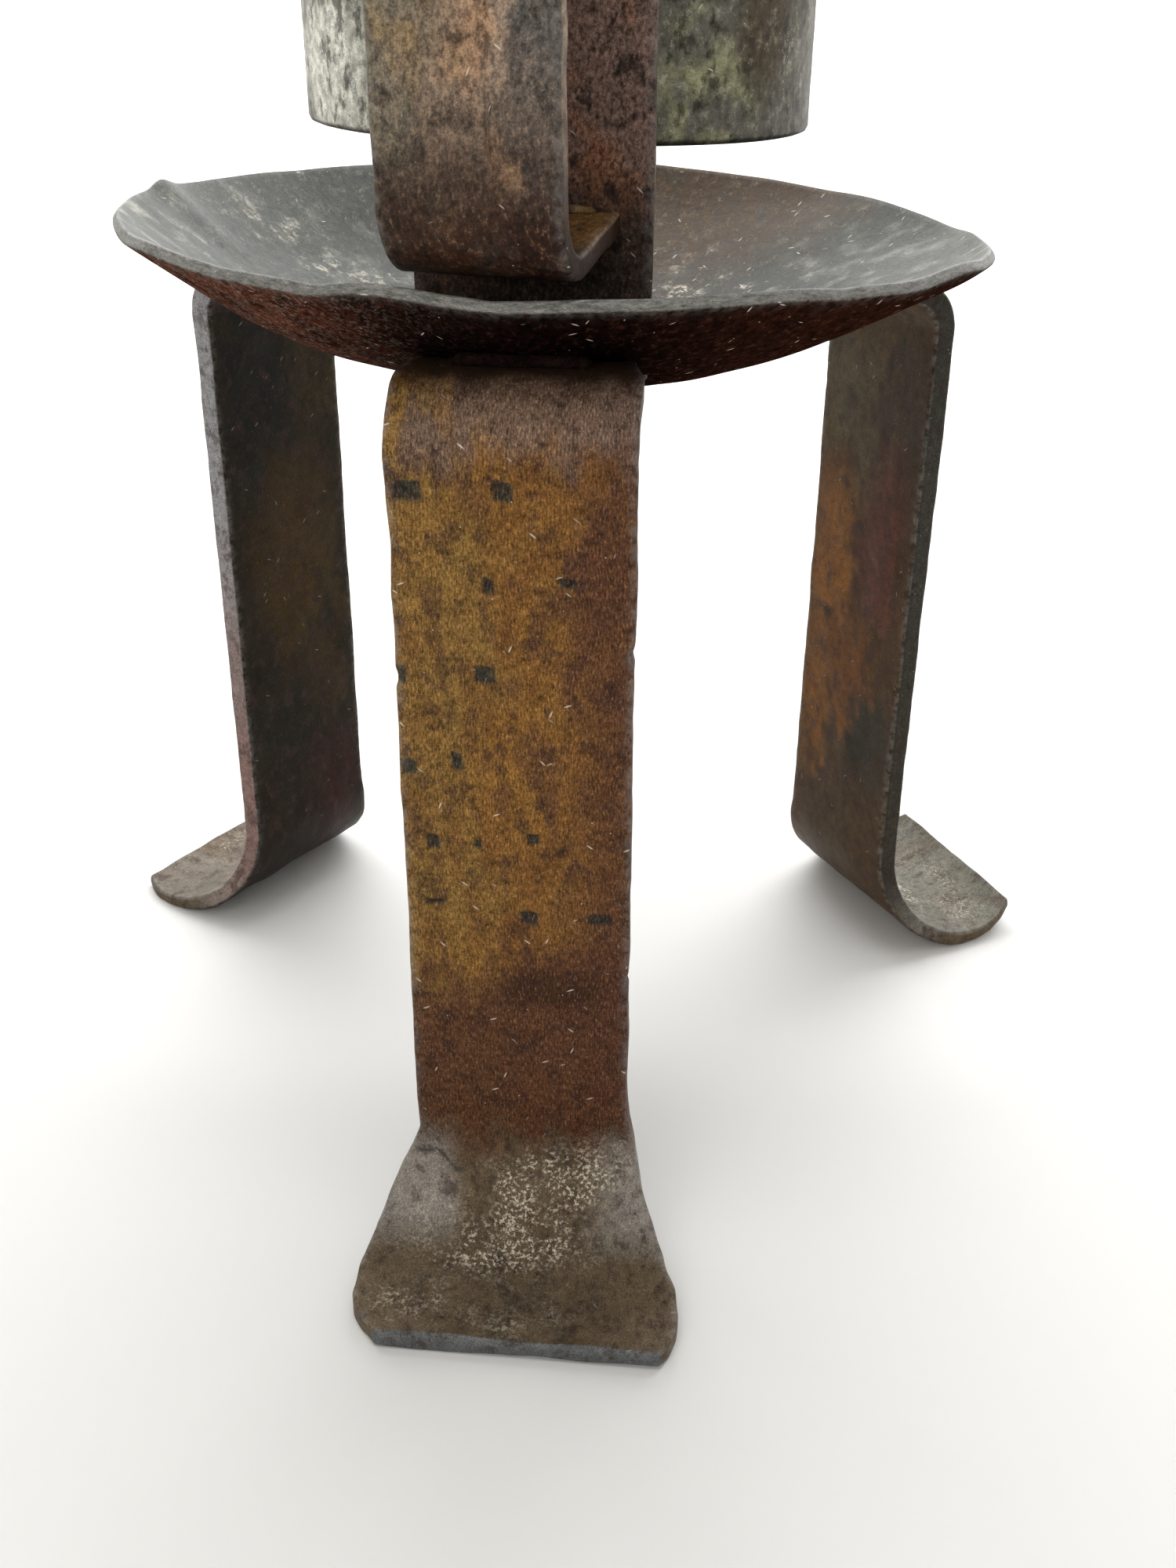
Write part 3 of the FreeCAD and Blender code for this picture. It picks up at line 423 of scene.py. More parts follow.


# the steel colour on edges is partly a painted highlight
PALE, STEEL_AND_GLINT, PIT, LINT_WHITE = rgb(212, 201, 182), rgb(140, 136, 131), rgb(26, 22, 20), rgb(226, 219, 206)
LINT = [(0.4, 0.0), (1.2, 17.0), (-0.8, 41.0), (2.2, 73.0)]  # turns in radians and shifts of fibres
FIBRE = (0.65, 0.13, 0.4)  # how a fibre is drawn out
BUMP_STRENGTH, BUMP_HEIGHT = 0.6, 0.0003  # height in metres


def oxidised(tree, coords, colour, drawn, noises, fleck, blotch, contrast, patch, salt):
    """A colour with blotches, drawn-out flecks, fine and broad grain, and pits."""
    flecks, fine, broad = noises
    patches = stretched(tree, coords, (patch[0], 0.7 * patch[0], patch[0]), 57.0)
    patches = noise_node(tree, patches, 1.0, 7, 0.7)
    colour = mixed(tree, between(tree, patches, 0.53, 0.6, 0, patch[1]), colour, blotch)
    streaks = between(tree, flecks, 0.32, 0.68, 1 - contrast, 1 + contrast)
    colour = mixed(tree, drawn, colour, streaks, "MULTIPLY")
    colour = mixed(tree, 1.0, colour, between(tree, fine, 0.32, 0.68, 1 - salt, 1 + salt), "MULTIPLY")
    colour = mixed(tree, 1.0, colour, between(tree, broad, 0.3, 0.7, 0.7, 1.3), "MULTIPLY")
    bright = times(tree, between(tree, flecks, 0.56, 0.7, 0, 0.6), between(tree, fine, 0.45, 0.6, 0.1, 0.8))
    colour = mixed(tree, times(tree, drawn, bright), colour, fleck)
    return mixed(tree, between(tree, broad, 0.36, 0.26, 0, 0.75), colour, PIT)


def rubbed(tree, coords, colour, broad, flake):
    """A colour with bare edges, which also stand for a painted highlight along them, and flocks of pale
    specks, where the mesh has them.
    """
    edge = times(tree, attribute(tree, "wear_and_glint")["Fac"], between(tree, broad, 0.4, 0.62, 0.05, 0.8))
    # bare steel on the edges, partly a painted highlight along them
    colour = mixed(tree, edge, colour, STEEL_AND_GLINT)
    flakes = between(tree, noise_node(tree, coords, flake, 6, 0.78), 0.51, 0.58, 0, 0.95)
    flock = between(tree, noise_node(tree, coords, 0.25 * flake, 3), 0.38, 0.52, 0, 1)
    frost = times(tree, attribute(tree, "frost")["Fac"], times(tree, flakes, flock))
    return mixed(tree, frost, colour, PALE)


def linted(tree, coords, colour, shown, amount):
    """A colour with clinging dust and short fibres."""
    dust = times(tree, specks(tree, coords, 0.6, 0.09, amount * 0.7), shown)
    colour = mixed(tree, dust, colour, LINT_WHITE)
    for turn, shift in LINT:
        fibres = specks(tree, stretched(tree, coords, FIBRE, shift, turn), 1.0, 0.11, amount)
        colour = mixed(tree, times(tree, fibres, shown), colour, LINT_WHITE)
    return colour


def forged(name, grain, contrast, fleck, blotch, rough, metal, gloss=0.1, lint=(0.7, 0.16), tint=None,
           patch=(0.3, 0.5), flake=1.3, salt=0.5):
    """Oxidised iron, as painted or mixed from the two colours of tint. grain and contrast shape its flecks;
    lint is a strength and an amount, patch the scale and strength of blotches, flake the scale of specks,
    salt the strength of fine grain."""
    material, tree, shader = new_material(name)
    if tint is None:
        coords, paint = attribute(tree, "bar")["Vector"], attribute(tree, "tint")
        colour, drawn = paint["Color"], paint["Alpha"]
    else:
        coords = stretched(tree, add(tree, "TexCoord").outputs["Object"], (1 / MM, 1 / MM, 1 / MM))
        colour, drawn = mixed(tree, noise_node(tree, coords, 0.12, 4), *tint), 1.0
    flecks = noise_node(tree, stretched(tree, coords, grain), 1.0, 3, 0.65)
    fine = noise_node(tree, coords, 3.3, 3, 0.7)
    broad = noise_node(tree, coords, 0.5, 5, 0.65)
    noises = flecks, fine, broad
    colour = oxidised(tree, coords, colour, drawn, noises, fleck, blotch, contrast, patch, salt)
    if tint is None:
        colour = rubbed(tree, coords, colour, broad, flake)
    colour = linted(tree, coords, colour, times(tree, drawn, lint[0]), lint[1])
    feed(shader["Base Color"], colour)
    feed(shader["Roughness"], between(tree, flecks, 0.3, 0.7, *rough))
    feed(shader["Metallic"], metal)
    feed(shader["Specular IOR Level"], gloss)
    height = mixed(tree, 0.5, mixed(tree, 0.5, flecks, fine), broad)
    bump = add(tree, "Bump", Strength=BUMP_STRENGTH, Distance=BUMP_HEIGHT, Height=height)
    feed(shader["Normal"], bump.outputs["Normal"])
    return material


def floor_material():
    material, tree, shader = new_material("pale_floor")
    cloud = noise_node(tree, add(tree, "TexCoord").outputs["Object"], 9.0, 3)
    feed(shader["Base Color"], mixed(tree, cloud, (0.78, 0.77, 0.75), (0.82, 0.81, 0.79)))
    feed(shader["Roughness"], 0.6)
    return material


SOFT, SATIN = (0.5, 0.7), (0.4, 0.58)  # roughness of dull and of smoother places
EVEN = (0.9, 0.9, 0.9)  # grain of weld metal, not drawn out
leg_iron = forged("leg_iron", (3.2, 0.8, 3.2), 0.65, rgb(184, 148, 96), rgb(58, 40, 36), SATIN, 0.25,
                  patch=(0.3, 0.55))
dish_iron = forged("dish_iron", (0.6, 0.5, 0.6), 0.4, rgb(160, 158, 148), rgb(60, 58, 52), SATIN, 0.35, 0.2,
                   patch=(0.25, 0.5), flake=0.6)
dish_under = forged("dish_under_iron", (0.9, 0.7, 0.9), 0.6, rgb(96, 56, 42), rgb(22, 13, 11), SOFT, 0.0,
                    0.0, (0.7, 0.22), patch=(0.2, 0.6))
strap_iron = forged("strap_iron", (1.5, 0.8, 1.5), 0.75, rgb(146, 98, 66), rgb(34, 28, 27), SATIN, 0.25,
                    patch=(0.3, 0.75))
handle_iron = forged("handle_iron", (1.3, 0.8, 1.3), 0.55, rgb(166, 134, 94), rgb(58, 50, 44), SATIN, 0.25,
                     patch=(0.2, 0.6), salt=0.4)
cup_iron = forged("cup_iron", (0.5, 0.45, 0.5), 0.45, rgb(204, 201, 184), rgb(58, 54, 44), SATIN, 0.4,
                  patch=(0.24, 0.75), flake=0.6, salt=0.28)
weld_iron = forged("weld_iron", EVEN, 0.3, rgb(130, 120, 106), rgb(50, 44, 40), SATIN, 0.5)
dark_weld = forged("dark_weld_iron", EVEN, 0.4, rgb(50, 36, 30), rgb(16, 11, 10), SOFT, 0.0, 0.0,
                   (0.6, 0.1))
braze = forged("braze", EVEN, 0.3, rgb(176, 142, 84), rgb(84, 62, 38), SATIN, 0.5)
floor_iron = forged("cup_floor_iron", (0.5, 0.5, 0.5), 0.3, rgb(150, 144, 122), rgb(60, 54, 46), SATIN, 0.4,
                    tint=(rgb(70, 64, 54), rgb(108, 104, 92)))
spike_iron = forged("spike_iron", (1.0, 1.0, 0.3), 0.3, rgb(130, 120, 102), rgb(44, 38, 34), SATIN, 0.5,
                    tint=(rgb(54, 47, 42), rgb(90, 82, 72)))


# Legs

GOLD, OLIVE, BROWN = rgb(136, 97, 46), rgb(133, 104, 55), rgb(112, 76, 40)
# SHEEN is a painted highlight on the shoulder's bend
MAROON, DARK, GREENISH, SHEEN = rgb(84, 54, 39), rgb(46, 30, 23), rgb(44, 48, 45), rgb(110, 92, 82)
# the flank colour is a painted sheen on the foot's flanks
FOOT, FOOT_SHADE, FLANK_SHEEN, TIP = rgb(94, 81, 63), rgb(64, 57, 46), rgb(142, 136, 129), rgb(98, 101, 102)
INNER_DARKENING = np.array([0.76, 0.64, 0.48])  # how much darker the rear legs' inner faces are made
# Marks on the front leg's shank: place across and up, half width and half height
DENTS = [(-16.8, 151.9, 2.7, 1.9), (-1.6, 152.0, 1.9, 1.9), (-4.1, 136.3, 1.1, 1.5), (8.7, 137.2, 1.6, 0.8),
         (-19.3, 120.3, 1.3, 1.9), (-5.0, 120.6, 2.1, 1.7), (-18.4, 103.0, 1.7, 1.6),
         (-10.0, 104.3, 1.1, 1.9), (-14.7, 88.4, 1.4, 1.6), (-6.8, 88.2, 0.9, 1.0), (3.0, 89.5, 1.4, 1.2),
         (2.1, 73.2, 1.9, 1.6), (14.9, 73.4, 2.6, 1.0), (-14.8, 76.0, 1.9, 0.5)]
NOTCHES = [(19.6, 124.6, 1.2, 2.4), (20.2, 60.1, 1.0, 2.2), (-20.0, 119.5, 0.8, 2.0)]
DENT_DEPTH, NOTCH_DEPTH, CRACK_DEPTH = 0.55, 0.4, 0.35
# Ways past the start of the ankle's bend: the marks' end, full thinness, the resting line, the tip
SHANK_END, FOOT_THIN, FOOT_REST, FOOT_TIP = 4, 22, 28, 44.5
LEG_EDGE, LEG_END = 0.7, 0.35  # roundness of a leg's long edges and of its ends
# Half widths of a leg against the way past the ankle
FRONT_LEFT = ([-166, -150, -132, -118, -6, 1.4, 5, 8.4, 14, 20.3, 28, 34.8, 38.5, 41.5, 44.5],
              [17, 20, 20.5, 20, 20, 19.8, 21.3, 23.1, 25.6, 27.6, 28.8, 29.1, 28.4, 26.4, 23.8])
FRONT_RIGHT = ([-166, -150, -132, -118, -9, -1.4, 5, 11.9, 17, 23.1, 29.1, 34.6, 38.5, 42, 44.5],
               [17, 20, 19.7, 19.8, 20.5, 21.3, 22.6, 24.3, 26.4, 28.8, 30.9, 31.6, 31.5, 30.6, 29.2])
REAR_HALF = ([-166, -150, -8, 0, 7, 14, 21, 28, 34, 38, 41.5, 44.5],
             [17, 20, 20.1, 20.4, 22.4, 24.9, 27.2, 28.7, 29.0, 28.6, 27.2, 25.2])
# Reach of a foot's tip, its slant, its lift off the floor and its thickness
FRONT_FOOT, LEFT_FOOT, RIGHT_FOOT = (118.1, 0.8, 0.0, 3.2), (119.4, -0.8, 0.0, 2.6), (121.0, 1.9, 4.5, 2.6)
# Colours of the rear legs' edges, above and below; the left leg's pale upper edge is a painted highlight
LEFT_EDGES_HIGHLIT, RIGHT_EDGES = (rgb(140, 139, 140), rgb(122, 98, 92)), (rgb(58, 56, 50), rgb(52, 48, 40))
# Patches on the rear legs' inner faces: place across and up, reach, colour and share
LEFT_PATCHES = [((8, 135), (15, 36), (30, 33, 33), 0.9), ((-12, 140), (11, 32), (60, 54, 35), 0.8),
                ((-2, 95), (22, 32), (72, 58, 27), 0.9), ((-8, 62), (13, 18), (60, 49, 25), 0.7),
                ((4, 52), (17, 19), (32, 32, 23), 0.7), ((-10, 30), (15, 24), (50, 25, 24), 0.9),
                ((8, 22), (19, 21), (38, 29, 22), 0.8)]
RIGHT_PATCHES = [((10, 140), (21, 28), (88, 84, 69), 0.9), ((-12, 135), (15, 32), (64, 58, 51), 0.8),
                 ((12, 95), (13, 36), (134, 92, 40), 0.9), ((-8, 105), (14, 32), (94, 56, 49), 0.8),
                 ((0, 70), (13, 20), (118, 75, 30), 0.7), ((14, 60), (11, 24), (124, 86, 40), 0.8),
                 ((-10, 52), (14, 20), (54, 54, 47), 0.9), ((6, 28), (22, 18), (72, 60, 44), 0.8),
                 ((2, 112), (5, 7), (58, 44, 32), 0.8), ((10, 80), (4, 5), (50, 38, 26), 0.9)]


def leg_path(spacing, tip_reach):
    """A leg's outer face seen from the side, from tab to toe; and the ankle's start and height."""
    over, shoulder_z = LEG_REACH - SHOULDER, TAB_HEIGHT - SHOULDER
    toe_at = (LEG_REACH + REST, TOE + BAR - SOLE_WEAR)
    ankle_x = LEG_REACH + ANKLE
    ankle_z = toe_at[1] - math.sqrt((TOE - ANKLE) ** 2 - (toe_at[0] - ankle_x) ** 2)
    turn = math.atan2(ankle_z - toe_at[1], ankle_x - toe_at[0])
    tip = -math.acos((tip_reach - toe_at[0]) / TOE)
    tab = line_points((TAB_START, TAB_HEIGHT), (over, TAB_HEIGHT), (0.0, 1.0), spacing)
    shoulder = arc_points((over, shoulder_z), SHOULDER, math.pi / 2, 0, False, spacing / 2)
    shank = line_points((LEG_REACH, shoulder_z), (LEG_REACH, ankle_z), (1.0, 0.0), spacing)
    ankle = arc_points((ankle_x, ankle_z), ANKLE, math.pi, turn + 2 * math.pi, True, spacing)
    toe = arc_points(toe_at, TOE, turn, tip, True, spacing)
    path = join([tab, shoulder, shank, ankle, toe])
    neck = np.argmin(np.abs(path[0][:, 1] - ankle_z) + np.abs(path[0][:, 0] - LEG_REACH))
    return path, path[2][neck], ankle_z


def drawn_to_tip(half, neck, tip):
    """Half widths against the way along a leg, drawn out to the foot's tip."""
    places = np.interp(half[0], [-200, FOOT_REST, FOOT_TIP], [-200, FOOT_REST, tip])
    return places + neck, half[1]


def seat_foot(points):
    """Flattens what hangs under the floor to a thin layer just over it."""
    below = points[:, 2] < SOLE_LAYER
    points[below, 2] = SOLE_LAYER * np.exp(points[below, 2] / SOLE_LAYER - 1)


def scarf_tab(points):
    """Thins a tab's inner end to fit under the dish."""
    reach = np.minimum(np.hypot(points[:, 0], points[:, 1]), 80)
    under = BALL_HEIGHT - np.sqrt((BALL + 0.1) ** 2 - reach ** 2)
    share = np.clip((points[:, 2] - TAB_HEIGHT + BAR) / BAR, 0, 1)
    points[:, 2] -= share * np.maximum(TAB_HEIGHT - under, 0)


def leg_bar(name, seed, halves, foot_shape, spacing, face_count):
    """The bar of one leg with its forged unevenness, and each point's way past the ankle."""
    tip_reach, slant, lift, thin = foot_shape
    path, neck, ankle_z = leg_path(spacing, tip_reach)
    length = path[2][-1]
    tip = length - neck
    thickness = ([0, neck, neck + FOOT_THIN, length], [BAR, BAR, thin + 1, thin])
    widths = [drawn_to_tip(half, neck, tip) for half in halves]
    bar = Bar(path, LEGS[name], (0, 0, 0), widths, thickness, BAR, LEG_EDGE, face_count, LEG_END)
    past = bar.along - neck
    bar.shear(slant * bar.across / 30 * step(past, 10, tip))
    lifted = lift * ((past - FOOT_REST) / (tip - FOOT_REST)) ** 2
    bar.points[:, 2] += np.where(past > FOOT_REST, lifted, 0)
    foot, free = step(past, 0, FOOT_THIN), step(past, -150, -140)
    bar.push(free * (0.13 * noise(bar.flat, 0.11, seed, 2) + 0.04 * noise(bar.flat, 0.5, seed + 3)))
    bar.push(foot * (0.32 * noise(bar.flat, 0.13, seed + 5, 2)))
    side = bar.side[None, :] * np.sign(bar.across)[:, None] * (np.abs(bar.across) / BAR_HALF)[:, None]
    bar.points += side * (free * (0.13 + 0.3 * foot) * bar.edge_wave(0.09, seed + 7))[:, None]
    seat_foot(bar.points)
    scarf_tab(bar.points)
    return bar, past, ankle_z


def dented(bar, past, ankle_z):
    """Punch marks, notches and a crack in the front leg; how deep each point lies in them."""
    height = ankle_z - past
    deep = np.zeros(len(past))
    for across, level, wide, tall in DENTS:
        away = np.maximum(np.abs(bar.across - across) / wide, np.abs(height - level) / tall)
        slope = np.abs(bar.across - across + 0.4 * (height - level)) / wide * 0.15
        mark = 1 - step(away + slope, 0.8, 1.1)
        deep = np.maximum(deep, (bar.outer & (past < SHANK_END)) * mark)
    bar.push(-DENT_DEPTH * deep)
    for across, level, wide, tall in NOTCHES:
        near = np.hypot((bar.across - across) / wide / 1.6, (height - level) / tall)
        cut = (past < SHANK_END) * (1 - step(near, 0.2, 1.0))
        bar.points -= bar.side * (NOTCH_DEPTH * cut * np.sign(across))[:, None]
        deep = np.maximum(deep, 0.6 * cut)
    line = 5.4 + 3.6 * step(bar.across, -20, -11) + 0.7 * np.sin(bar.across * 0.9)
    left_end, right_end = step(bar.across, -21.5, -20), 1 - step(bar.across, -12, -10)
    crack = np.exp(-((past - line) / 0.5) ** 2) * left_end * right_end * bar.outer
    bar.push(-CRACK_DEPTH * crack)
    return np.maximum(deep, 0.9 * crack)


def paint_leg_face(bar, past, seed):
    """Heat colours: gold and olive on the shank, maroon to the right and below, grey on the foot; a painted
    sheen on the shoulder's bend and on the foot's flanks, and painted shade at the very top, under the
    dish.
    """
    flat, across, height = bar.coords + seed * 13.0, bar.across, -past
    cloud, small = noise(flat, (0.1, 0.045, 0.1), seed, 3), noise(flat, (0.35, 0.14, 0.3), seed + 11, 3)
    below = height + 6 * cloud + 4 * small - 0.3 * across
    # where the shoulder's bend gets a painted sheen
    bend = step(height + 3 * small, 129, 137) * step(across + 5 * small, -19, -8)
    foot = step(past + 3 * small, -3, 9)
    # where the foot's flanks get a painted sheen
    flank_sheen = step(np.abs(across + 4 * cloud), 12, 21) * spot(across * 0, past, (0, 12), (1, 15))
    return layers(BROWN, [
        (0.45 + 0.7 * cloud + 0.4 * small, GOLD),
        (0.6 * (1 - step(across + 7 * cloud, -13, 2)) + 0.3 * small, OLIVE),
        (0.6 * step(small + 0.7 * cloud, 0.25, 0.8), MAROON),
        (0.85 * step(across + 4 * cloud + 4 * small, 4, 18), MAROON),
        (0.9 * (1 - step(below, 34, 43)), MAROON),
        (0.6 * spot(across, height, (6, 33), (16, 6)), DARK),
        # painted highlight: a paler sheen on the shoulder's bend
        (0.75 * bend, SHEEN),
        # painted shade: dark at the very top, under the dish
        (0.9 * step(height + 2 * small, 143, 150), DARK),
        (0.95 * foot, FOOT),
        (0.5 * foot * step(small + 0.5 * cloud, 0.0, 0.8), FOOT_SHADE),
        # painted highlight: a pale sheen on the foot's flanks
        (0.8 * flank_sheen, FLANK_SHEEN)])


def foot_specks(bar, past):
    """Where a foot is rubbed pale: two bands on its middle and a dusting near its tip."""
    cloud = 0.8 + noise(bar.coords, 0.14, 19, 3)
    upper = spot(bar.across, past + 0.25 * bar.across, (4, 13), (27, 11))
    lower = spot(bar.across, past, (-3, 21), (25, 13))
    rim = 0.45 * spot(bar.across, past, (-9, 37), (28, 10))
    return bar.outer * np.maximum(np.maximum(upper, lower), rim) * cloud


def leg_grain(bar, past):
    """Grain shows on the outer face of the shank, and little elsewhere."""
    return (1 - 0.75 * step(past, -4, 8)) * np.where(bar.outer, 1.0, 0.3)


def make_front_leg():
    seed = 5
    bar, past, ankle_z = leg_bar("front_leg", seed, (FRONT_LEFT, FRONT_RIGHT), FRONT_FOOT, 0.5, 88)
    deep, tip = dented(bar, past, ankle_z), past.max()
    tint = layers(paint_leg_face(bar, past, seed), [
        (0.8 * bar.inner, DARK), (0.9 * deep, GREENISH), (0.9 * step(past, tip - 0.5, tip - 0.2), TIP)])
    bar.piece("front_leg", tint, "leg_iron", leg_iron, 0.0, foot_specks(bar, past), leg_grain(bar, past))


def make_rear_leg(name, seed, foot_shape, foot_colour, edges, ground, patches):
    """A rear leg, with the colours of its foot, its edges, and its inner face: ground and patches."""
    bar, past, ankle_z = leg_bar(name, seed, (REAR_HALF, REAR_HALF), foot_shape, 0.9, 46)
    cloud = noise(bar.coords + seed, (0.09, 0.05, 0.1), seed + 21, 3)
    small = noise(bar.coords + seed, (0.3, 0.2, 0.3), seed + 23, 3)
    height = ankle_z - past
    u, v = bar.across + 4 * small, height + 6 * cloud + 5 * small
    coats = [(share * spot(u, v, place, reach), rgb(*colour)) for place, reach, colour, share in patches]
    inner = layers(ground, coats) * INNER_DARKENING * (1 + 0.35 * small)[:, None]
    tint = np.where((bar.inner & (past < 30))[:, None], inner, paint_leg_face(bar, past, seed))
    # the left leg's pale upper edge colour is a painted highlight
    edge = blend(edges[1], step(height + 12 * cloud, 40, 120), edges[0])
    on_edge = (np.abs(bar.face) < 0.6)[:, None] * (1 - step(past, 0, 30))[:, None]
    tint = tint * (1 - on_edge) + edge * on_edge
    tint = blend(tint, 0.8 * bar.outer * step(past, 12, 24) * (0.8 + 0.5 * cloud), foot_colour)
    bar.piece(name, tint, "leg_iron", leg_iron, 300.0 * seed, foot_specks(bar, past), leg_grain(bar, past))


def make_legs():
    make_front_leg()
    make_rear_leg("left_leg", 8, LEFT_FOOT, rgb(110, 102, 92), LEFT_EDGES_HIGHLIT, rgb(38, 33, 22), LEFT_PATCHES)
    make_rear_leg("right_leg", 12, RIGHT_FOOT, rgb(106, 106, 98), RIGHT_EDGES, rgb(80, 62, 38),
                  RIGHT_PATCHES)


# Drip dish

DISH_ROUND, DISH_RINGS = 380, 78  # points in a round, rounds on each side
RIM_REACH, CUT_REACH = 84, 83.6
SKIN = 0.97  # share of the half sheet from which its skin counts
# Long waves of the rim: waves to the round, and their height along and across the right-hand way
RIM_WAVES = [(1, -2.11, 0.53), (2, -0.73, -0.37), (3, -0.7, 0.12)]
# Shorter bends of the rim: the way round, and the rise there
RIM_BENDS = ([0, 195, 221, 226, 230, 236, 239, 242.3, 243.7, 246.6, 249.4, 254.6, 257, 259.7, 263, 265, 268,
              272, 280, 290, 299, 302.6, 304.5, 308, 317, 322.5, 330, 350, 360],
             [0, 0, 0.7, 0.5, 0, -0.6, -0.95, -1.4, -1.28, -0.58, -0.25, -0.57, -1.0, -1.26, -1.75, -1.55,
              -1.36, -1.15, -1.05, -1.05, -1.3, -1.55, -1.3, -1.0, -0.63, 0.2, 0.6, 0.2, 0])
LIP_PLACE, LIP_WIDTH, LIP_HEIGHT = math.radians(168), 0.055, 1.7  # on the rim's left, in radians
FROST_PATCHES = [((31, 33), (20, 14)), ((-58, 20), (26, 30))]  # centre and reach of pale patches


def dish_section():
    """Half of the dish cut through: inside, cut edge, outside; and each point's side from 1 to -1."""
    middle, half = BALL - SHEET / 2, SHEET / 2 - 0.12
    last = math.asin(CUT_REACH / middle)
    slope = np.linspace(0.004, last, DISH_RINGS)
    edge = np.linspace(1, -1, 11)[1:-1]
    lean = np.concatenate([slope, last + 0.5 * (1 - edge ** 6) / middle, slope[::-1]])
    side = np.concatenate([np.ones(DISH_RINGS), edge, -np.ones(DISH_RINGS)])
    radius = middle - half * side
    return np.column_stack([radius * np.sin(lean), BALL_HEIGHT - radius * np.cos(lean)]), side


def shape_dish(points, turn, level):
    """Bends the rim and dimples the bowl as hammering left them; each point's reach before that."""
    reach = np.hypot(points[:, 0], points[:, 1])
    outer = step(reach, 60, RIM_REACH)
    wave = sum(a * np.cos(k * turn) + b * np.sin(k * turn) for k, a, b in RIM_WAVES)
    lip = LIP_HEIGHT * np.exp(-((turn - LIP_PLACE) / LIP_WIDTH) ** 2)
    bends = np.interp(np.degrees(turn), *RIM_BENDS)
    uneven = noise(points * np.array([1, 1, 0]), 0.05, 31, 2)
    points[:, 2] += outer * (wave + lip + bends + 0.55 * uneven)
    points[:, 2] += 0.3 * (1 - step(reach, 60, 80)) * noise(level, 0.07, 33, 2)
    points[:, :2] *= (1 + outer * (0.5 * noise(points, 0.03, 35, 2) - 0.4) / np.maximum(reach, 1))[:, None]
    return reach


def paint_bowl(x, y, cloud, small):
    """Mottled grey, darker to the right and at the back, and brown at the far right."""
    brown = step(y + 9 * cloud, 26, 58) * step(x + 10 * small, -14, 22)
    return layers(rgb(81, 82, 76), [
        (step(x + 8 * cloud, 0, 34), rgb(55, 54, 44)),
        (0.7 * step(small + 0.5 * cloud, 0.0, 0.8), rgb(122, 124, 117)),
        (0.7 * step(cloud - 0.4 * small, 0.1, 0.8), rgb(50, 50, 45)),
        (0.45 * step(y + 10 * cloud, -10, 50), rgb(48, 48, 42)),
        (0.9 * brown, rgb(74, 55, 34))])


def paint_underside(x, y, cloud, small):
    """Red brown to the left, nearly black to the right, and nearly black over the front leg as a painted
    shadow.
    """
    return layers(rgb(80, 43, 30), [
        (step(x + 12 * cloud, -52, 10), rgb(40, 21, 13)),
        (0.3 + 0.8 * small, rgb(40, 22, 17)),
        # painted shadow: nearly black over the front leg
        (0.9 * spot(x, y, (-6, -60), (46, 60)), rgb(12, 7, 6))])


def dish_frost(x, y, reach, side, cloud, small):
    """Pale specks: less at the bowl's back, right and rim, more in two patches, a few below on the left."""
    bowl = side > SKIN
    frost = bowl * step(small + 0.8 * cloud, 0.0, 0.9) * (1 - 0.7 * step(y, 10, 50))
    frost = frost * (1 - 0.6 * step(reach, 52, 78)) * (1 - 0.8 * step(x, 42, 60))
    frost = frost + 0.2 * (side < -SKIN) * (1 - step(x, -60, -5))
    mottled = sum(spot(x, y, *place) for place in FROST_PATCHES)
    return frost + 0.5 * bowl * mottled * step(small + 0.5 * cloud, -0.3, 0.4)


def dish_faces(quads, rounds):
    """The dish's faces, closed in the middle on both sides, and which of them lie on the outside."""
    last = (rounds - 1) * DISH_ROUND
    faces = quads[:last, ::-1].tolist()
    faces += [list(range(DISH_ROUND)), list(range(last, last + DISH_ROUND))[::-1]]
    outside = np.repeat(np.arange(rounds - 1) >= rounds - 1 - DISH_RINGS, DISH_ROUND)
    return faces, np.concatenate([outside, [False, True]])


def make_dish():
    section, across = dish_section()
    points, quads, turn = revolved(section, DISH_ROUND)
    side = np.repeat(across, DISH_ROUND)
    level = np.column_stack([points[:, 0], points[:, 1], 4 * side])
    reach = shape_dish(points, turn, level)
    x, y = points[:, 0], points[:, 1]
    cloud, small = noise(level, 0.05, 37, 3), noise(level, (0.22, 0.3, 0.2), 39, 3)
    bowl, underside = paint_bowl(x, y, cloud, small), paint_underside(x, y, cloud, small)
    rim = np.abs(side) < SKIN
    tint = np.where(rim[:, None], rgb(124, 123, 118), np.where((side > 0)[:, None], bowl, underside))
    beside = np.exp(-(RIM_REACH - np.minimum(reach, RIM_REACH)) / 0.6) * (np.abs(side) > SKIN)
    faces, outside = dish_faces(quads, len(section))
    make_piece("drip_dish_hammered", points, faces, tint, level, 0.3 * rim + 0.3 * beside, "drip_dish",
               dish_iron, dish_frost(x, y, reach, side, cloud, small), (dish_under, outside))


# Cup

CUP_RINGS, CUP_ROUND, CUP_TILT = 60, 300, 0.0131  # rounds up the wall, points in a round, drop to the right
FOOT_ROUND, TOP_ROUND, LIP = 1.2, 1.9, 1.1  # where the wall's ends start to round, and how far


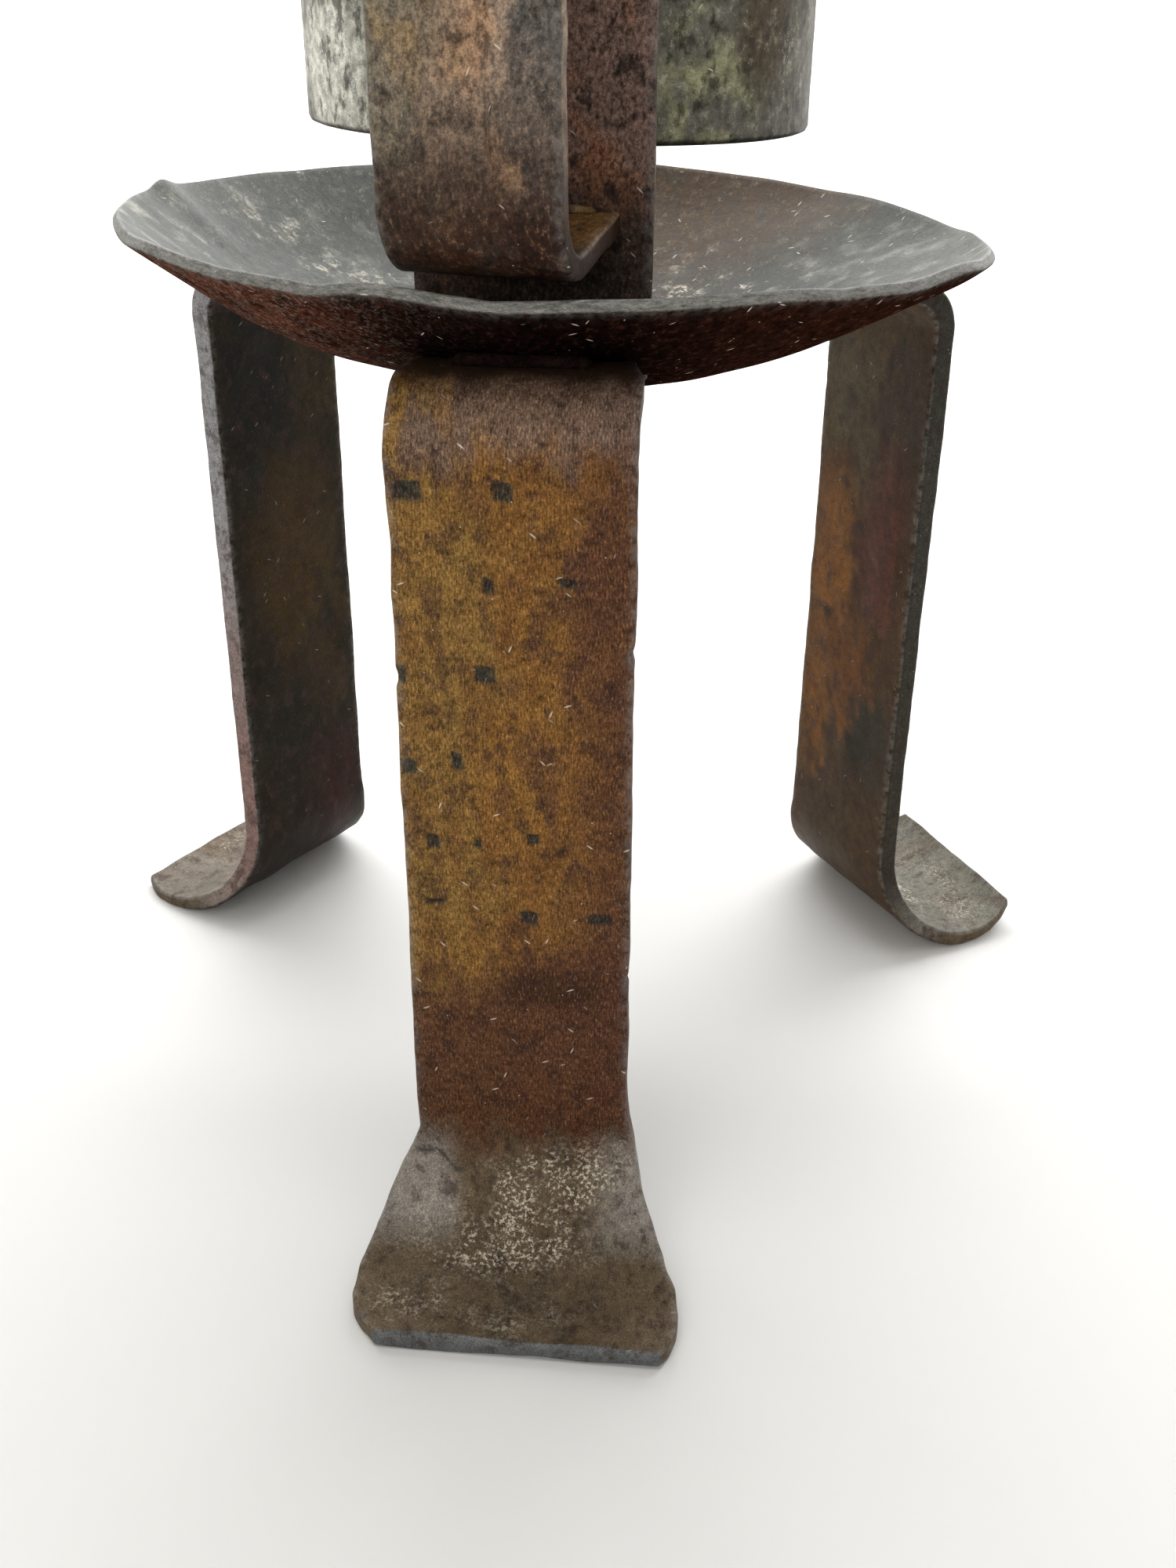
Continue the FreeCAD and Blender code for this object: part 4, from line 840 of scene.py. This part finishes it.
def cup_section():
    """The wall cut through: outside, top edge, inside, foot."""
    turn = 2 * np.linspace(0, math.pi / 2, 5)
    rise = np.linspace(CUP_LOW + FOOT_ROUND, CUP_HIGH - TOP_ROUND, CUP_RINGS)
    wall = CUP_WALL / 2
    outer = np.column_stack([np.full(CUP_RINGS, CUP_RADIUS), rise])
    top = np.column_stack([CUP_RADIUS - wall + wall * np.cos(turn), rise[-1] + LIP * np.sin(turn)])
    inner = np.column_stack([np.full(CUP_RINGS, CUP_RADIUS - CUP_WALL), rise[::-1]])
    foot = np.column_stack([CUP_RADIUS - wall - wall * np.cos(turn), rise[0] - LIP * np.sin(turn)])
    return np.concatenate([outer, top[1:-1], inner, foot[1:-1]])


def paint_cup(points, inside, cloud, small):
    """Mottled grey, whitish on the left as a painted reflection, with a yellow and a brown patch to the
    right, darker inside as painted shade, and a dark foot.
    """
    x, z, near = points[:, 0], points[:, 2], points[:, 1] < 0
    yellow, brown = spot(x, z, (24, 206), (13, 22)) * near, spot(x, z, (35, 216), (8, 16)) * near
    low_edge = 1 - step(z + CUP_TILT * x, CUP_LOW + 0.3, CUP_LOW + 1.3)
    return layers(rgb(104, 101, 92), [
        # painted reflection: whitish on the cup's left side
        (0.9 * (1 - step(x + 10 * cloud, -44, -22)), rgb(224, 223, 211)),
        (0.5 * step(small + 0.5 * cloud, 0.0, 0.9), rgb(136, 134, 124)),
        (0.7 * step(cloud - 0.4 * small, 0.1, 0.8), rgb(80, 73, 57)),
        (0.75 * yellow * step(small, -0.3, 0.4), rgb(152, 150, 116)),
        (0.8 * brown, rgb(78, 66, 48)),
        # painted shade: darker inside the cup
        (0.6 * inside, rgb(62, 57, 50)),
        (0.8 * low_edge, rgb(34, 32, 29))])


def make_cup():
    points, quads, turn = revolved(cup_section(), CUP_ROUND)
    inside = np.hypot(points[:, 0], points[:, 1]) < CUP_RADIUS - CUP_WALL / 2
    wobble = 0.16 * noise(points, 0.05, 51, 2) + 0.05 * noise(points, 0.3, 53)
    points[:, :2] *= (1 + (wobble - 0.12) / CUP_RADIUS)[:, None]
    points[:, 2] -= CUP_TILT * points[:, 0]
    flat = np.column_stack([turn * CUP_RADIUS, points[:, 2], 20.0 * inside])
    cloud, small = noise(flat, (0.05, 0.07, 1), 55, 3), noise(flat, (0.3, 0.3, 1), 57, 3)
    wear_and_glint = 0.5 * step(points[:, 2], CUP_HIGH - 2.4, CUP_HIGH - 1.4)
    frost = 0.5 * (1 - inside) * step(small + 0.4 * cloud, 0.1, 0.9)
    tint = paint_cup(points, inside, cloud, small)
    make_piece("candle_cup_rolled", points, quads.tolist(), tint, flat, wear_and_glint, "candle_cup",
               cup_iron, frost)


# Upright and handle

STRAP_EDGE, ARM_START = 0.8, -0.6  # roundness of edges; how far the arms' ends sink in


def make_upright():
    foot = BALL_HEIGHT - math.sqrt((BALL - SHEET) ** 2 - (UPRIGHT_FACE - BAR) ** 2) - 0.3
    path = join([line_points((UPRIGHT_FACE, UPRIGHT_TOP), (UPRIGHT_FACE, foot), (1.0, 0.0), 1.1)])
    half, thickness = ([0], [BAR_HALF]), ([0], [BAR])
    bar = Bar(path, FRONT, (0, 0, 0), (half, half), thickness, BAR, STRAP_EDGE, 40)
    bar.push(bar.outer * 0.12 * noise(bar.flat, 0.1, 61, 2))
    bar.points += bar.side * (0.25 * bar.edge_wave(0.08, 63) * bar.across / BAR_HALF)[:, None]
    cloud, small = noise(bar.flat, (0.1, 0.05, 0.1), 65, 3), noise(bar.flat, (0.4, 0.2, 0.3), 67, 2)
    tint = layers(rgb(114, 92, 83), [
        (0.8 * step(cloud + 0.4 * small, 0.1, 0.9), rgb(136, 92, 66)),
        (0.7 * step(-cloud + 0.4 * small, 0.1, 0.8), rgb(76, 66, 63)),
        # painted shade: dark near the foot, below the handle's lower arm
        (0.85 * step(bar.along + 4 * cloud, 94, 110), rgb(46, 38, 34))])
    bar.piece("upright_strap", tint, "strap_iron", strap_iron, 77.0)


def handle_path(spacing):
    """The handle's outer side from its upper end to its lower end, seen from the side."""
    sine, cosine = math.sin(ARM_SLOPE), math.cos(ARM_SLOPE)
    bend_x = HANDLE_REACH - HANDLE_BEND
    join_x = bend_x - HANDLE_BEND * sine
    rise = math.tan(ARM_SLOPE)
    top = (bend_x, HANDLE_HIGH + join_x * rise - HANDLE_BEND * cosine)
    bottom = (bend_x, HANDLE_LOW - join_x * rise + HANDLE_BEND * cosine)
    up, down = [(-sine, way * cosine) for way in (1, -1)]
    upper_arm = [(x, HANDLE_HIGH + x * rise) for x in (ARM_START, join_x)]
    lower_arm = [(x, HANDLE_LOW - x * rise) for x in (join_x, ARM_START)]
    grip = [(HANDLE_REACH, top[1]), (HANDLE_REACH, bottom[1])]
    return join([line_points(*upper_arm, up, spacing),
                 arc_points(top, HANDLE_BEND, math.pi / 2 + ARM_SLOPE, 0, False, spacing),
                 line_points(*grip, (1.0, 0.0), spacing),
                 arc_points(bottom, HANDLE_BEND, 0, -math.pi / 2 - ARM_SLOPE, False, spacing),
                 line_points(*lower_arm, down, spacing)])


def paint_handle(bar, length):
    """Brown grey, pale at the left edge and dark at the right one, very dark at its lower bend."""
    cloud, small = noise(bar.flat, (0.1, 0.06, 0.1), 75, 3), noise(bar.flat, (0.4, 0.2, 0.3), 77, 2)
    across, up = bar.across, length - bar.along
    upper_left = (1 - step(across, -7, 4)) * step(up, 46, 64)
    return layers(rgb(148, 128, 111), [
        (0.7 * step(cloud + 0.5 * small, 0.0, 0.8), rgb(160, 124, 94)),
        (0.7 * step(-cloud + 0.4 * small, 0.15, 0.8), rgb(112, 107, 96)),
        (0.8 * (1 - step(across + 3 * cloud, -13, -5)) * bar.outer, rgb(142, 136, 120)),
        (0.75 * upper_left, rgb(102, 94, 80)),
        (0.5 * upper_left * step(small + 0.4 * cloud, 0.1, 0.7), rgb(152, 128, 90)),
        (0.8 * step(across + 3 * small, 5, 9) * bar.outer, rgb(84, 82, 79)),
        (0.93 * (1 - step(up + 4 * cloud, 35, 64)), rgb(42, 19, 9)),
        (0.8 * (1 - step(up, 12, 24)) * bar.inner, rgb(126, 94, 54))])


def make_handle():
    face = math.radians(FRONT)
    pivot = (UPRIGHT_FACE * math.cos(face), UPRIGHT_FACE * math.sin(face), 0)
    path = handle_path(0.9)
    length = path[2][-1]
    half, thickness = ([0], [HANDLE_HALF]), ([0], [HANDLE_BAR])
    bar = Bar(path, FRONT + HANDLE_TURN, pivot, (half, half), thickness, HANDLE_BAR, STRAP_EDGE, 36)
    skew = math.tan(math.radians(HANDLE_TURN)) * bar.across
    bar.shear(skew * (1 - step(bar.along, 4, 20)) - skew * step(bar.along, length - 20, length - 4))
    free = step(bar.along, 2, 10) * (1 - step(bar.along, length - 10, length - 2))
    bar.push(free * (0.13 * noise(bar.flat, 0.12, 71, 2) + 0.04 * noise(bar.flat, 0.5, 72)))
    bar.points += bar.side * (0.25 * bar.edge_wave(0.09, 73) * bar.across / 14)[:, None]
    bar.piece("carrying_handle", paint_handle(bar, length), "handle_iron", handle_iron, 144.0)


# Weld and braze metal

LEG_BEAD_REACH, CUP_BEAD_REACH, CUP_BEAD_SIDE, FLOOR_BEAD_HEIGHT = 69.4, 46.5, 12.4, 200.8
# Places of points along the beads
LEG_BEAD_ROW, UPRIGHT_BEAD_ROW = np.linspace(-11.5, 11.5, 30), np.linspace(-16, 16, 34)
BRAZE_ROW, CUP_BEAD_ROW = np.linspace(-10.8, 10.8, 26), np.linspace(211.5, 280.5, 70)


def placed(angle, reach, across, height):
    """A point at a reach from the axis on the way of an angle, and to the side of it."""
    angle = math.radians(angle)
    x = reach * math.cos(angle) - across * math.sin(angle)
    return x, reach * math.sin(angle) + across * math.cos(angle), height


def in_bowl(reach, across):
    """A point on the bowl under the upright, just over the sheet."""
    height = BALL_HEIGHT - math.sqrt((BALL - SHEET) ** 2 - reach ** 2 - across ** 2)
    return placed(FRONT, reach, across, height + 0.7)


def make_beads():
    """The beads under the legs' tabs, at the upright's foot, behind and in the cup, and at the handle."""
    tubes = []
    for seed, angle in enumerate(LEGS.values()):
        path = [placed(angle, LEG_BEAD_REACH, across, TAB_HEIGHT + 0.7) for across in LEG_BEAD_ROW]
        tubes.append(bead_tube(path, 1.2, 100 + seed))
    beads("leg_weld_beads", tubes, rgb(20, 13, 11), rgb(36, 25, 21), dark_weld, 0.0)
    tubes = [bead_tube([in_bowl(reach, across) for across in UPRIGHT_BEAD_ROW], 1.9, 110)
             for reach in (UPRIGHT_FACE - BAR - 0.9, UPRIGHT_FACE + 0.9)]
    beads("upright_weld_beads", tubes, rgb(46, 34, 32), rgb(86, 72, 66), weld_iron)
    tubes = [bead_tube([placed(FRONT, CUP_BEAD_REACH, across, z) for z in CUP_BEAD_ROW], 1.5, 120)
             for across in (-CUP_BEAD_SIDE, CUP_BEAD_SIDE)]
    beads("cup_weld_beads", tubes, rgb(70, 62, 54), rgb(118, 108, 96), weld_iron)
    ring = [placed(math.degrees(turn), CUP_RADIUS - CUP_WALL - 0.75, 0, FLOOR_BEAD_HEIGHT)
            for turn in np.linspace(0, 2 * math.pi, 180, endpoint=False)]
    beads("floor_weld_bead", [bead_tube(ring, 1.1, 130, True)], rgb(60, 54, 48),
          rgb(110, 102, 92), weld_iron)
    rise = HANDLE_BAR / math.cos(ARM_SLOPE)
    tubes = [bead_tube([placed(FRONT, UPRIGHT_FACE + 0.8, across, z) for across in BRAZE_ROW], 0.9, 140)
             for z in (HANDLE_LOW + rise + 0.3, HANDLE_HIGH - rise - 0.3)]
    beads("handle_braze_beads", tubes, rgb(96, 70, 40), rgb(126, 98, 58), braze)


# Floor, light and camera; lengths are in metres and powers in watts

FLOOR_HOLE, FLOOR_REACH, FLOOR_BEND, WALL_HEIGHT, FLOOR_ROUND = 0.3, 1.9, 1.2, 4.0, 96
ROOM_COLOUR, ROOM_STRENGTH = (0.95, 0.97, 1.0, 1), 0.38
# Name, place, target, width, height, power and colour
LIGHTS = [("back_window", (0.2, 1.3, 1.0), (0, 0, 0.15), 2.2, 1.2, 14.5, (0.96, 0.98, 1.0)),
          ("top_light", (0.0, 0.1, 1.6), (0, 0, 0.1), 1.4, 1.4, 7, (1.0, 0.99, 0.97)),
          ("front_fill", (-0.7, -1.6, 1.0), (0, 0, 0.12), 1.2, 1.2, 9, (1.0, 0.97, 0.92)),
          ("wall_light", (0.0, 1.4, 2.2), (0, 3.0, 0.2), 3.0, 0.8, 90, (0.97, 0.99, 1.0))]
PHOTO_HEIGHT, FOCAL_LENGTH, SENSOR = 2000, 1991.97, 36.0  # two in the photo's pixels; millimetres
CAMERA_PLACE = (-0.443, -323.375, 224.668)  # in millimetres from the dish's axis
CAMERA_TURN, CAMERA_PITCH, CAMERA_ROLL = -1.319, 27.477, 0.641


def make_floor():
    """A pale round floor that sweeps up to a wall on all sides."""
    turn = np.linspace(0, math.pi / 2, 25)
    bend = FLOOR_BEND * np.column_stack([np.sin(turn), 1 - np.cos(turn)]) + (FLOOR_REACH, 0)
    profile = np.vstack([(FLOOR_HOLE, 0.0), bend, (FLOOR_REACH + FLOOR_BEND, WALL_HEIGHT)])
    points, quads, _ = revolved(profile, FLOOR_ROUND)
    mesh = bpy.data.meshes.new("studio_floor")
    middle = list(range(FLOOR_ROUND))[::-1]
    mesh.from_pydata(points.tolist(), [], quads[:-FLOOR_ROUND].tolist() + [middle])
    mesh.shade_smooth()
    mesh.materials.append(floor_material())
    add_object("studio_floor", mesh)


def make_light():
    world = bpy.data.worlds.new("soft_room")
    bpy.context.scene.world = world
    world.use_nodes = True
    background = world.node_tree.nodes["Background"]
    background.inputs["Color"].default_value = ROOM_COLOUR
    background.inputs["Strength"].default_value = ROOM_STRENGTH
    for name, place, target, wide, tall, power, colour in LIGHTS:
        light = bpy.data.lights.new(name, "AREA")
        light.shape, light.size, light.size_y = "RECTANGLE", wide, tall
        light.energy, light.color = power, colour
        item = add_object(name, light)
        item.location = place
        item.rotation_euler = (Vector(target) - Vector(place)).to_track_quat("-Z", "Y").to_euler()
        item.visible_camera = False


def turned(angle, axis):
    return Matrix.Rotation(math.radians(angle), 4, axis)


def make_camera():
    camera = bpy.data.cameras.new("photo_camera")
    camera.sensor_fit, camera.sensor_height = "VERTICAL", SENSOR
    camera.lens = SENSOR * FOCAL_LENGTH / PHOTO_HEIGHT
    camera.clip_start = 0.01
    item = add_object("photo_camera", camera)
    place = Matrix.Translation(Vector(AXIS) + Vector(CAMERA_PLACE) * MM)
    item.matrix_world = (place @ turned(CAMERA_TURN, "Z") @ turned(90 - CAMERA_PITCH, "X")
                         @ turned(CAMERA_ROLL, "Z"))
    bpy.context.scene.camera = item


make_legs()
make_dish()
make_cup()
make_upright()
make_handle()
make_beads()
for node, material in (("cup_floor", floor_iron), ("candle_spike", spike_iron)):
    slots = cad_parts[node].data.materials
    slots.clear()
    slots.append(material)
make_floor()
make_light()
make_camera()
bpy.context.scene.view_settings.view_transform = "Standard"
